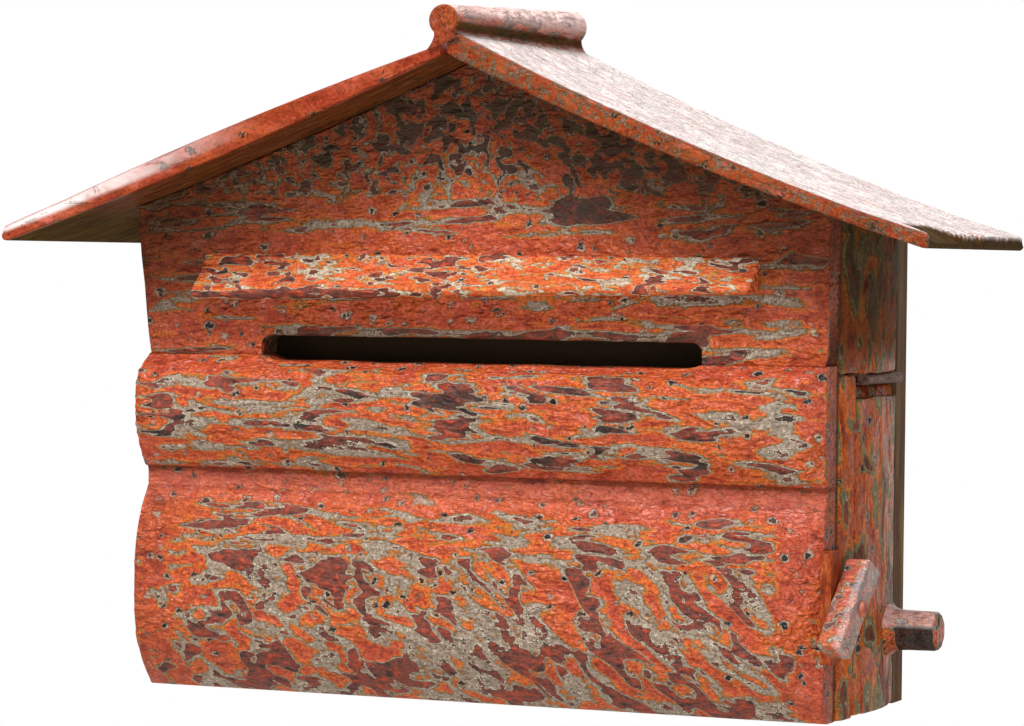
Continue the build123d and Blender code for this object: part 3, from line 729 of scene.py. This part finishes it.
def roll_coats(points):
    """Bleached by the sun and lightened by painted sheen along the top, darkened in the neck by grime and painted
    shade, whole paint on the front end.
    """
    _, y, z = np.moveaxis(points, -1, 0)
    face = 1 - ramp(y, roll_front + 0.5, roll_front + 3)
    # Painted sheen along the top and on the foot, together with sun bleaching.
    top = ramp(z, roll_top - 16, roll_top - 8) * (1 - face)
    # Painted shade in the neck under the round bar.
    neck = bump(z, apex + 13, apex + 15, 3) * (1 - face)
    foot = (1 - ramp(z, apex + 8, apex + 13)) * (1 - face)
    wear = relief(points, (6, 16, 6), 43) - 2.4 * face - 0.8 - 1.0 * foot
    return coat(points, wear, 0.8, np.maximum(top, 0.6 * foot), 0.85 * neck + 0.3 * face, 0.6 * (1 - face))


def knob_coats(points):
    """Paint on top of the peg, at its end and round its root, and worn wood below."""
    x, _, z = np.moveaxis(points, -1, 0)
    top = ramp(z, knob_low + 12, knob_low + 15)
    end = ramp(x, knob_end - 1.6, knob_end - 0.4)
    root = 1 - ramp(x, knob_root + 7, knob_root + 11)
    bare = (1 - top) * (1 - end) * (1 - root)
    wear = 0.7 * relief(points, (12, 7, 7), 47) - 0.7 + 2.6 * bare
    # Painted highlight: the peg's top is lightened; painted shade: its underside is darkened.
    return coat(points, wear, 1.7, 0.4 * top * (1 - end), 0.3 * (1 - ramp(z, knob_low + 2, knob_low + 8)), 0.4)


def button_coats(points):
    """Patches all over, worn along the outer arrises, which are lightened by a painted highlight, and darkened below
    by painted shade.
    """
    x, _, z = np.moveaxis(points, -1, 0)
    under = 1 - ramp(z, button_z - 30, button_z - 18)
    arris = bump(x, button_outer - 3.0, button_outer - 0.5, 2.0)
    wear = relief(points, (6, 7, 7), 53) - 0.4 + 0.6 * arris
    # Painted shade below and a painted highlight along the outer arris.
    return coat(points, wear, 1.0, 0.05 + 0.25 * arris, 0.4 * under, 0.4)


# Materials
def linear(code, alpha=1.0):
    """Linear colour from an sRGB hex code."""
    parts = [int(code[place : place + 2], 16) / 255 for place in (1, 3, 5)]
    return (*(p / 12.92 if p <= 0.04045 else ((p + 0.055) / 1.055) ** 2.4 for p in parts), alpha)


def add(tree, kind, inputs=None, stops=None, out=0, **settings):
    """One output of a new shader node, or the node itself where out is None; inputs are values or the sockets that
    feed them, stops a colour ramp's."""
    made = tree.nodes.new("ShaderNode" + kind)
    for key, value in settings.items():
        setattr(made, key, value)
    for key, value in (inputs or {}).items():
        if isinstance(value, bpy.types.NodeSocket):
            tree.links.new(value, made.inputs[key])
        else:
            made.inputs[key].default_value = value
    if stops:
        elements = made.color_ramp.elements
        while len(elements) < len(stops):
            elements.new(0.5)
        for element, (place, colour) in zip(elements, stops):
            element.position, element.color = place, colour
    return made if out is None else made.outputs[out]


def new_material(name):
    """Empty node material and its tree."""
    made = bpy.data.materials.new(name)
    made.use_nodes = True
    made.node_tree.nodes.clear()
    return made, made.node_tree


def worn_paint(name, tones, grain, pits, sparse=0.6, shine=0.2, veil=0.8, flecks=0.6):
    """Oil paint on softwood: coats brushed on over each other, then rubbed down and varnished. The more a place
    was rubbed, the deeper the coat that shows: red, orange, a soft yellow line, grey, a thin cream line and a brown
    first coat, charred here and there, so that the coats ring each other like contours. The top coat is streaked,
    with open pits. To the eye it is a satin skin, glossier where the paint is whole."""
    def tints(*rows):
        """Colour ramp stops from rows of a place, a tone and how far that tone covers."""
        return [(place, linear(tones[tone], *cover)) for place, tone, *cover in rows]
    made, tree = new_material(name)
    at = add(tree, "TexCoord", out="Object")
    wear, char, bleach_and_sheen, grime_and_shade = (add(tree, "Attribute", attribute_name=title, out="Fac")
                                 for title in ("wear", "char", "bleach_and_sheen", "grime_and_shade"))
    # Stretched noises for the grain, the lumps and the brush marks, a round one for specks, and how deep it is rubbed
    patterns = []
    for density, detail, roughness in ((1.0, 3.0, 0.55), (0.75, 1.5, 0.5), (0.45, 6.0, 0.75)):
        stretched = add(tree, "Mapping", {"Vector": at, "Scale": [density / (size * MM) for size in grain]})
        patterns.append(add(tree, "TexNoise", {"Vector": stretched, "Scale": 1.0, "Detail": detail,
                                               "Roughness": roughness}))
    fine, lumps, brush = patterns
    speck = add(tree, "TexNoise", {"Vector": at, "Scale": 1 / (1.7 * MM), "Detail": 3.0, "Roughness": 0.6})
    ragged = add(tree, "Math", {0: fine, 1: 1.3, 2: -0.65 - flecks / 2}, operation="MULTIPLY_ADD")
    ragged = add(tree, "Math", {0: speck, 1: flecks, 2: ragged}, operation="MULTIPLY_ADD")
    ground = add(tree, "Math", {0: wear, 1: ragged}, operation="ADD")
    place = add(tree, "MapRange", {"Value": ground, "From Min": -1.5, "From Max": 2.0})

    # Top coat, the rings of the coats below and the first coat's isles
    top = add(tree, "ValToRGB", {"Fac": brush}, tints(
        (0.34, "deep"), (0.44, "red"), (0.54, "warm"), (0.66, "salmon")))
    worked = add(tree, "TexNoise", {"Vector": at, "Scale": 1 / (22 * MM), "Detail": 1.0})
    patch = add(tree, "MapRange", {"Value": worked, "From Min": 0.46, "From Max": 0.62, "To Max": 0.45})
    top = add(tree, "Mix", {"Factor": patch, 6: top, 7: linear(tones["orange"])}, data_type="RGBA", out=2)
    rings = add(tree, "ValToRGB", {"Fac": place}, tints(
        (0.20, "orange", 0.0), (0.33, "orange", 0.9), (0.385, "yellow"), (0.43, "grey"), (0.570, "grey_light"),
        (0.582, "cream"), (0.594, "cream"), (0.606, "char"), (0.618, "char"), (0.64, "brown"),
        (0.75, "isle")), out=None)
    coats = add(tree, "Mix", {"Factor": rings.outputs["Alpha"], 6: top, 7: rings.outputs["Color"]}, data_type="RGBA",
                out=2)
    isles = add(tree, "ValToRGB", {"Fac": lumps}, tints(
        (0.28, "char"), (0.42, "brown"), (0.56, "isle"), (0.70, "red")))
    inner = add(tree, "MapRange", {"Value": ground, "From Min": 0.7, "From Max": 0.85})
    coats = add(tree, "Mix", {"Factor": inner, 6: coats, 7: isles}, data_type="RGBA", out=2)
    deep = add(tree, "MapRange", {"Value": ground, "From Min": 0.62, "From Max": 0.72})
    mottle = add(tree, "Math", {0: brush, 1: 4.0, 2: -2.6}, operation="MULTIPLY_ADD")
    mottle = add(tree, "Math", {0: mottle, 1: char}, operation="ADD", use_clamp=True)
    mottle = add(tree, "Math", {0: mottle, 1: deep}, operation="MULTIPLY")
    coats = add(tree, "Mix", {"Factor": mottle, 6: coats, 7: linear(tones["char"])}, data_type="RGBA", out=2)

    # Open pits, specks and creases in the top coat; the creases are darkened with painted shade
    bend = add(tree, "TexNoise", {"Vector": at, "Scale": 1 / (4 * MM), "Detail": 1.0}, out="Color")
    pit_at = add(tree, "Mapping", {"Vector": at, "Scale": [1 / (size * MM) for size in pits]})
    pit_at = add(tree, "Mix", {"Factor": 0.3, 4: pit_at, 5: bend}, data_type="VECTOR", out=1)
    cells = add(tree, "TexVoronoi", {"Vector": pit_at, "Scale": 1.4, "Randomness": 1.0}, out=None)
    odds = add(tree, "SeparateColor", {"Color": cells.outputs["Color"]}, out=None)
    chosen = add(tree, "Math", {0: odds.outputs[0], 1: sparse}, operation="GREATER_THAN")
    small = add(tree, "Math", {0: odds.outputs[1], 1: 0.9, 2: 0.6}, operation="MULTIPLY_ADD")
    apart = add(tree, "Math", {0: ragged, 1: 0.4, 2: cells.outputs["Distance"]}, operation="MULTIPLY_ADD")
    apart = add(tree, "Math", {0: apart, 1: small}, operation="MULTIPLY")
    hollow = add(tree, "ValToRGB", {"Fac": apart}, tints(
        (0.0, "pit"), (0.17, "char"), (0.20, "cream"), (0.235, "cream", 0.7), (0.32, "orange", 0.0)), out=None)
    plain = add(tree, "MapRange", {"Value": ground, "From Min": 0.2, "From Max": -0.3})
    pitted = add(tree, "Math", {0: chosen, 1: plain}, operation="MULTIPLY")
    pitted = add(tree, "Math", {0: pitted, 1: hollow.outputs["Alpha"]}, operation="MULTIPLY")
    coats = add(tree, "Mix", {"Factor": pitted, 6: coats, 7: hollow.outputs["Color"]}, data_type="RGBA", out=2)
    off = add(tree, "Math", {0: lumps, 1: 0.5}, operation="SUBTRACT")
    off = add(tree, "Math", {0: off}, operation="ABSOLUTE")
    strokes = add(tree, "MapRange", {"Value": brush, "From Min": 0.42, "From Max": 0.58})
    crease = add(tree, "MapRange", {"Value": off, "From Max": 0.045}, interpolation_type="SMOOTHSTEP")
    shade = add(tree, "ValToRGB", {"Fac": speck}, [
        (0.36, linear("#8C8480")), (0.50, linear("#E6E2DE")), (0.62, linear("#FFFFFF"))])
    coats = add(tree, "Mix", {"Factor": 0.6, 6: coats, 7: shade}, data_type="RGBA", blend_type="MULTIPLY", out=2)
    # Painted shade: colour darkened along the creases of the relief.
    crease_shade = add(tree, "MapRange", {"Value": crease, "To Min": 0.45, "To Max": 0.0})
    crease_shade = add(tree, "Math", {0: crease_shade, 1: plain}, operation="MULTIPLY")
    crease_shade = add(tree, "Math", {0: crease_shade, 1: strokes}, operation="MULTIPLY")
    coats = add(tree, "Mix", {"Factor": crease_shade, 6: coats, 7: linear("#6E4C40")}, data_type="RGBA", blend_type="MULTIPLY",
                out=2)

    # Bleached by the sun and lightened by painted sheen, then glazed and caked with grime and painted shade
    # Painted sheen and sun bleaching: lightened towards salmon, pink and chalk.
    pale = add(tree, "ValToRGB", {"Fac": brush}, tints((0.28, "salmon"), (0.38, "pink"), (0.50, "chalk")))
    chalk = add(tree, "MapRange", {"Value": fine, "From Min": 0.18, "From Max": 0.42})
    chalk = add(tree, "Math", {0: chalk, 1: bleach_and_sheen}, operation="MULTIPLY")
    coats = add(tree, "Mix", {"Factor": chalk, 6: coats, 7: pale}, data_type="RGBA", out=2)
    # Painted shade and grime: darkened by a glaze and by soot and moss tones.
    dirt_and_shade = add(tree, "ValToRGB", {"Fac": brush}, tints((0.35, "soot"), (0.65, "moss")))
    glazed_and_shaded = add(tree, "Mix", {"Factor": grime_and_shade, 6: coats, 7: linear("#8C6C58")}, data_type="RGBA",
                 blend_type="MULTIPLY", out=2)
    caked_and_shaded = add(tree, "Math", {0: grime_and_shade, 1: veil}, operation="MULTIPLY")
    coats = add(tree, "Mix", {"Factor": caked_and_shaded, 6: glazed_and_shaded, 7: dirt_and_shade}, data_type="RGBA", out=2)

    # Gloss, and the relief of lumps, edges, creases and pits
    gloss = add(tree, "MapRange", {"Value": ground, "From Min": -0.4, "From Max": 0.4, "To Min": 0.27, "To Max": 0.5})
    gloss = add(tree, "Math", {0: gloss, 1: grime_and_shade}, operation="MAXIMUM")
    edge = add(tree, "MapRange", {"Value": ground, "From Min": -0.25, "From Max": 0.1, "To Min": 0.9, "To Max": 0.0})
    grainy = add(tree, "Math", {0: fine, 1: 0.35, 2: edge}, operation="MULTIPLY_ADD")
    heave = add(tree, "MapRange", {"Value": worked, "From Min": 0.38, "From Max": 0.62, "To Min": 0.8,
                                   "To Max": 3.0})
    rough = add(tree, "Math", {0: lumps, 1: heave, 2: grainy}, operation="MULTIPLY_ADD")
    rough = add(tree, "Math", {0: crease, 1: 0.12, 2: rough}, operation="MULTIPLY_ADD")
    dented = add(tree, "Math", {0: pitted, 1: -0.8, 2: rough}, operation="MULTIPLY_ADD")
    normal = add(tree, "Bump", {"Height": dented, "Strength": 1.0, "Distance": 2.0 * MM})
    shader = add(tree, "BsdfPrincipled", {"Base Color": coats, "Roughness": gloss, "Normal": normal,
                                          "Specular IOR Level": shine})
    add(tree, "OutputMaterial", {"Surface": shader}, out=None)
    return made


def old_paint(name, dark, mid, light, grain, bare_before=-1000.0):
    """Thin old paint on boards that were never rubbed down: streaked along the grain, dull and a little grimy. Faces
    further to the front than bare_before look into the box, where the wood was left bare and has darkened."""
    made, tree = new_material(name)
    at = add(tree, "TexCoord", out="Object")
    grain_at = add(tree, "Mapping", {"Vector": at, "Scale": [1 / (size * MM) for size in grain]})
    streak = add(tree, "TexNoise", {"Vector": grain_at, "Scale": 1.0, "Detail": 6.0, "Roughness": 0.7})
    colour = add(tree, "ValToRGB", {"Fac": streak}, [
        (0.32, linear(dark)), (0.50, linear(mid)), (0.68, linear(light))])
    depth = add(tree, "SeparateXYZ", {"Vector": at}, out="Y")
    hidden = add(tree, "Math", {0: depth, 1: bare_before * MM}, operation="LESS_THAN")
    colour = add(tree, "Mix", {"Factor": hidden, 6: colour, 7: linear("#5A4632")}, data_type="RGBA", out=2)
    normal = add(tree, "Bump", {"Height": streak, "Strength": 0.8, "Distance": 1.2 * MM})
    shader = add(tree, "BsdfPrincipled", {"Base Color": colour, "Roughness": 0.6, "Normal": normal,
                                          "Specular IOR Level": 0.08})
    add(tree, "OutputMaterial", {"Surface": shader}, out=None)
    return made


# Tones of each paint; pink and chalk serve sun bleaching and painted sheen, soot and moss grime and painted shade.
FRONT_TONES = {
    "deep": "#6E2618", "red": "#AA4228", "warm": "#BC5032", "salmon": "#C66A58", "orange": "#D4662C",
    "yellow": "#D98A30", "cream": "#D0C2AC", "grey": "#A09080", "grey_light": "#948372", "char": "#342924",
    "brown": "#703C32", "isle": "#863F30", "soot": "#33221A", "moss": "#66502A", "pit": "#120D0C",
    "pink": "#D87868", "chalk": "#E08A7A",
}
# Pegs, roof and ridge: paler pink and chalk, for painted highlights and sheen as well as sun bleaching.
PEG_TONES = {**FRONT_TONES, "pink": "#EBC4BE", "chalk": "#F8ECEA"}
HOOD_TONES = {
    **FRONT_TONES, "deep": "#9A3A20", "red": "#CC5430", "warm": "#DE683A", "salmon": "#E48468", "orange": "#EA7A3A",
    "yellow": "#EBA64A", "cream": "#E8D8C0", "grey": "#D6C3AC", "grey_light": "#C4AE98",
}
SIDE_TONES = {
    **FRONT_TONES, "deep": "#5A2012", "red": "#9C3A1C", "warm": "#BC5A24", "salmon": "#C0583E", "orange": "#D4702A",
    "yellow": "#C8964A", "cream": "#BFB08A", "grey": "#857C58", "grey_light": "#7C7050", "char": "#3E322A",
    "brown": "#6E3C2A", "isle": "#84402A", "soot": "#2B2010", "moss": "#57491C",
}
ROOF_TONES = {
    **PEG_TONES, "red": "#A23C26", "warm": "#B04A32", "orange": "#C05A2C", "salmon": "#D4766C", "cream": "#C4A890",
    "grey": "#96786A", "grey_light": "#7E6252", "isle": "#8A4A3C", "soot": "#33200C", "moss": "#57491C",
}
RIDGE_TONES = {
    **ROOF_TONES, "red": "#AE4429", "warm": "#C05234", "orange": "#D4662C", "grey": "#A08A80",
    "grey_light": "#8C7468", "pink": "#E3ACA2", "chalk": "#F2D4CE",
}


def bare_softwood():
    """Spruce, sawn and left bare inside the box: pale brown with darker straight grain and no shine."""
    made, tree = new_material("sawn_softwood")
    at = add(tree, "TexCoord", out="Object")
    grain_at = add(tree, "Mapping", {"Vector": at, "Scale": [1 / (size * MM) for size in (60, 3, 3)]})
    grain = add(tree, "TexNoise", {"Vector": grain_at, "Scale": 1.0, "Detail": 5.0})
    colour = add(tree, "ValToRGB", {"Fac": grain}, [
        (0.3, linear("#4A3422")), (0.5, linear("#7A5B3C")), (0.7, linear("#98764F"))])
    normal = add(tree, "Bump", {"Height": grain, "Strength": 0.5, "Distance": 0.4 * MM})
    shader = add(tree, "BsdfPrincipled", {"Base Color": colour, "Roughness": 0.75, "Normal": normal})
    add(tree, "OutputMaterial", {"Surface": shader}, out=None)
    return made


def rusted_steel(name, worn):
    """Mild steel hinge and screws left outdoors: brown scale, and bare metal where worn."""
    made, tree = new_material(name)
    at = add(tree, "TexCoord", out="Object")
    scale = add(tree, "TexNoise", {"Vector": at, "Scale": 1 / (2.2 * MM), "Detail": 6.0, "Roughness": 0.7})
    colour = add(tree, "ValToRGB", {"Fac": scale}, [
        (0.32, linear("#1E130F")), (0.48, linear("#47291C")), (0.60, linear("#6C3F28")),
        (0.74, linear("#94887C"))])
    bare = add(tree, "MapRange", {"Value": scale, "From Min": worn, "From Max": worn + 0.12})
    dull = add(tree, "MapRange", {"Value": scale, "From Min": 0.4, "From Max": 0.75, "To Min": 0.8, "To Max": 0.35})
    normal = add(tree, "Bump", {"Height": scale, "Strength": 0.6, "Distance": 0.3 * MM})
    shader = add(tree, "BsdfPrincipled", {"Base Color": colour, "Metallic": bare, "Roughness": dull,
                                          "Normal": normal})
    add(tree, "OutputMaterial", {"Surface": shader}, out=None)
    return made


front_paint = worn_paint("layered_oil_paint_front", FRONT_TONES, (5.0, 2.6, 2.4), (9, 6, 7), sparse=0.45, veil=0.3,
                         flecks=1.1)
hood_paint = worn_paint("layered_oil_paint_hood", HOOD_TONES, (5.0, 2.6, 2.0), (9, 6, 7))
side_paint = worn_paint("layered_oil_paint_sides", SIDE_TONES, (3.0, 4.5, 8.0), (7, 9, 9), sparse=0.5, shine=0.1,
                        veil=0.45, flecks=1.2)
# Roof and ridge: their pale tops are sun bleaching together with painted sheen.
roof_paint = worn_paint("sun_bleached_and_sheen_oil_paint", ROOF_TONES, (22.0, 2.0, 8.0), (8, 6, 5), sparse=0.85, shine=0.05,
                        veil=0.85, flecks=5.0)
ridge_paint = worn_paint("sun_bleached_and_sheen_oil_paint_ridge", RIDGE_TONES, (3.5, 14.0, 3.5), (6, 8, 6), sparse=0.85,
                         shine=0.1, veil=0.85, flecks=2.0)
peg_paint = worn_paint("layered_oil_paint_pegs", PEG_TONES, (4.0, 2.4, 2.4), (6, 6, 6), sparse=0.8)

# Each log: its bottom and head, the lower and upper end of its flat crown, its foot, and how far that is set back
BOTTOM = (floor_line, joint_low, floor_line + 48, floor_line + 66, floor_line, 6.0)
MIDDLE = (joint_low, joint_high, joint_low + 46, joint_low + 50, joint_low + 10, -3.0)

piece("painted_gable", "gable_board", "root", front_paint, gable_loops(), gable_coats)
piece("painted_hood", "slot_hood", "root", hood_paint, hood_loops(), hood_coats, swell=0.2)
piece("painted_middle_log", "middle_course", "root", front_paint, log_course(*MIDDLE), middle_coats)
piece("painted_bottom_log", "bottom_course", "root", front_paint, log_course(*BOTTOM), bottom_coats)
piece("painted_left_side", "left_side", "root", side_paint,
      slab_loops(boards_back, back_face, floor_line, roof_under, side_inner, -1), side_coats)
piece("painted_upper_panel", "right_upper_panel", "root", side_paint,
      slab_loops(boards_back, back_face, panel_low, roof_under, side_inner, 1), side_coats)
piece("painted_front_stile", "right_front_stile", "root", side_paint,
      slab_loops(boards_back, stile_back, floor_line, flat_top(panel_low), side_inner, 1, 0.8), side_coats, swell=0.2,
      proud=0.0)
piece("painted_door", "side_door", "door", side_paint, door_loops(), side_coats, proud=0.0)
piece("painted_left_roof", "left_roof_board", "root", roof_paint,
      roof_loops(-1, roof_left, LEFT_RISES, 0.0, 2.0, 5.0, small_chips), roof_coats, rows=2, swell=0.2)
piece("painted_right_roof", "right_roof_board", "root", roof_paint,
      roof_loops(1, roof_right, RIGHT_RISES, 5.0, 3.0, 3.0, eave_chips), roof_coats, rows=2, swell=0.2)
piece("painted_ridge_roll", "ridge_roll", "root", ridge_paint, roll_loops(), roll_coats, swell=0.2)
piece("painted_knob", "door_knob", "door", peg_paint, knob_loops(), knob_coats, swell=0.15)
piece("painted_turn_button", "turn_button", "turn_button", peg_paint, button_loops(), button_coats,
      swell=0.12)

softwood = bare_softwood()
back_paint = old_paint("old_oil_paint_back", "#2E1C10", "#5A3A1E", "#7A6438", (5, 5, 60), back_face + 0.1)
fixing_paint = old_paint("old_oil_paint_fixings", "#4A1C10", "#8C381A", "#A8602F", (3, 3, 9))
head_paint = old_paint("old_oil_paint_screw", "#8A3A2A", "#B0604E", "#C08070", (4, 4, 4))
hinge_rust = rusted_steel("rusted_steel_hinge", 0.66)
screw_rust = rusted_steel("rusted_steel_screws", 0.58)
FINISHES = {
    "back_board": back_paint, "floor_board": softwood, "button_spacer": fixing_paint, "front_dowels": softwood,
    "roof_dowels": softwood, "floor_dowels": softwood, "hinge_frame_leaf": hinge_rust, "hinge_door_leaf": hinge_rust,
    "hinge_pin": hinge_rust, "hinge_frame_screws": screw_rust, "hinge_door_screws": screw_rust,
    "button_screw": head_paint, "knob_screw": screw_rust, "back_screws": screw_rust, "hood_screws": screw_rust,
}
for node, finish in FINISHES.items():
    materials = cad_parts[node].data.materials
    materials.clear()
    materials.append(finish)


# Studio: a pale floor well below the box, soft light from above and a white surround
def studio():
    """Floor, world and lamps. Camera, glossy and transmitted rays see a white surround; the light that falls on
    the box is strong from above and weak from below."""
    reach, level = 1.5, CAD_BOX[0].z - 0.45
    floor_mesh = bpy.data.meshes.new("studio_floor")
    floor_mesh.from_pydata([(-reach, -reach, level), (reach, -reach, level), (reach, reach, level),
                            (-reach, reach, level)], [], [(0, 1, 2, 3)])
    floor = bpy.data.objects.new("studio_floor", floor_mesh)
    bpy.context.scene.collection.objects.link(floor)
    made, tree = new_material("pale_studio_floor")
    matt = add(tree, "BsdfDiffuse", {"Color": linear("#E6E4E0")})
    add(tree, "OutputMaterial", {"Surface": matt}, out=None)
    floor_mesh.materials.append(made)

    world = bpy.data.worlds.new("studio_surround")
    world.use_nodes = True
    tree = world.node_tree
    tree.nodes.clear()
    path = add(tree, "LightPath", out=None)
    seen = add(tree, "Math", {0: path.outputs["Is Camera Ray"], 1: path.outputs["Is Glossy Ray"]},
               operation="MAXIMUM")
    seen = add(tree, "Math", {0: seen, 1: path.outputs["Is Transmission Ray"]}, operation="MAXIMUM")
    towards = add(tree, "TexCoord", out="Generated")
    height = add(tree, "SeparateXYZ", {"Vector": towards}, out="Z")
    sky = add(tree, "MapRange", {"Value": height, "From Min": -0.3, "From Max": 0.8, "To Min": 0.38, "To Max": 0.5})
    white = add(tree, "Background", {"Color": (1, 1, 1, 1), "Strength": 1.0})
    soft = add(tree, "Background", {"Color": linear("#FBF8F2"), "Strength": sky})
    mixed = add(tree, "MixShader", {0: seen, 1: soft, 2: white})
    add(tree, "OutputWorld", {"Surface": mixed}, out=None)
    bpy.context.scene.world = world

    for name, place, size, power in (("overhead_softbox", (-0.3, -1.4, 2.1), 0.9, 74.0),
                                     ("front_fill", (1.0, -2.3, -0.5), 1.4, 33.0)):
        lamp = bpy.data.lights.new(name, "AREA")
        lamp.size, lamp.energy = size, power
        hung = bpy.data.objects.new(name, lamp)
        hung.location = place
        aim = -hung.location.normalized()
        hung.rotation_euler = aim.to_track_quat("-Z", "Y").to_euler()
        bpy.context.scene.collection.objects.link(hung)
    bpy.context.scene.view_settings.view_transform = "Standard"


def photo_camera():
    """Camera at the photograph's angle: its distance, turn, tilt and slight roll about the aim point."""
    turn, tilt, roll = (math.radians(angle) for angle in (23.56, 1.52, 0.6))
    focal_pixels, image_width, distance = 3743.0, 1024, 1981.5
    aim = np.array([21.8, -131.0, 42.5])
    back = np.array([math.sin(turn) * math.cos(tilt), -math.cos(turn) * math.cos(tilt), math.sin(tilt)])
    level = np.array([math.cos(turn), math.sin(turn), 0])
    upright = np.cross(back, level)
    right = level * math.cos(roll) + upright * math.sin(roll)
    up = upright * math.cos(roll) - level * math.sin(roll)
    lens = bpy.data.cameras.new("photo_camera")
    lens.sensor_width = 36.0
    lens.lens = focal_pixels * lens.sensor_width / image_width
    lens.clip_start, lens.clip_end = 0.05, 50.0
    camera = bpy.data.objects.new("photo_camera", lens)
    columns = np.column_stack([right, up, back, (aim + back * distance) * MM])
    camera.matrix_world = Matrix([*columns.tolist(), (0, 0, 0, 1)])
    bpy.context.scene.collection.objects.link(camera)
    bpy.context.scene.camera = camera


studio()
photo_camera()
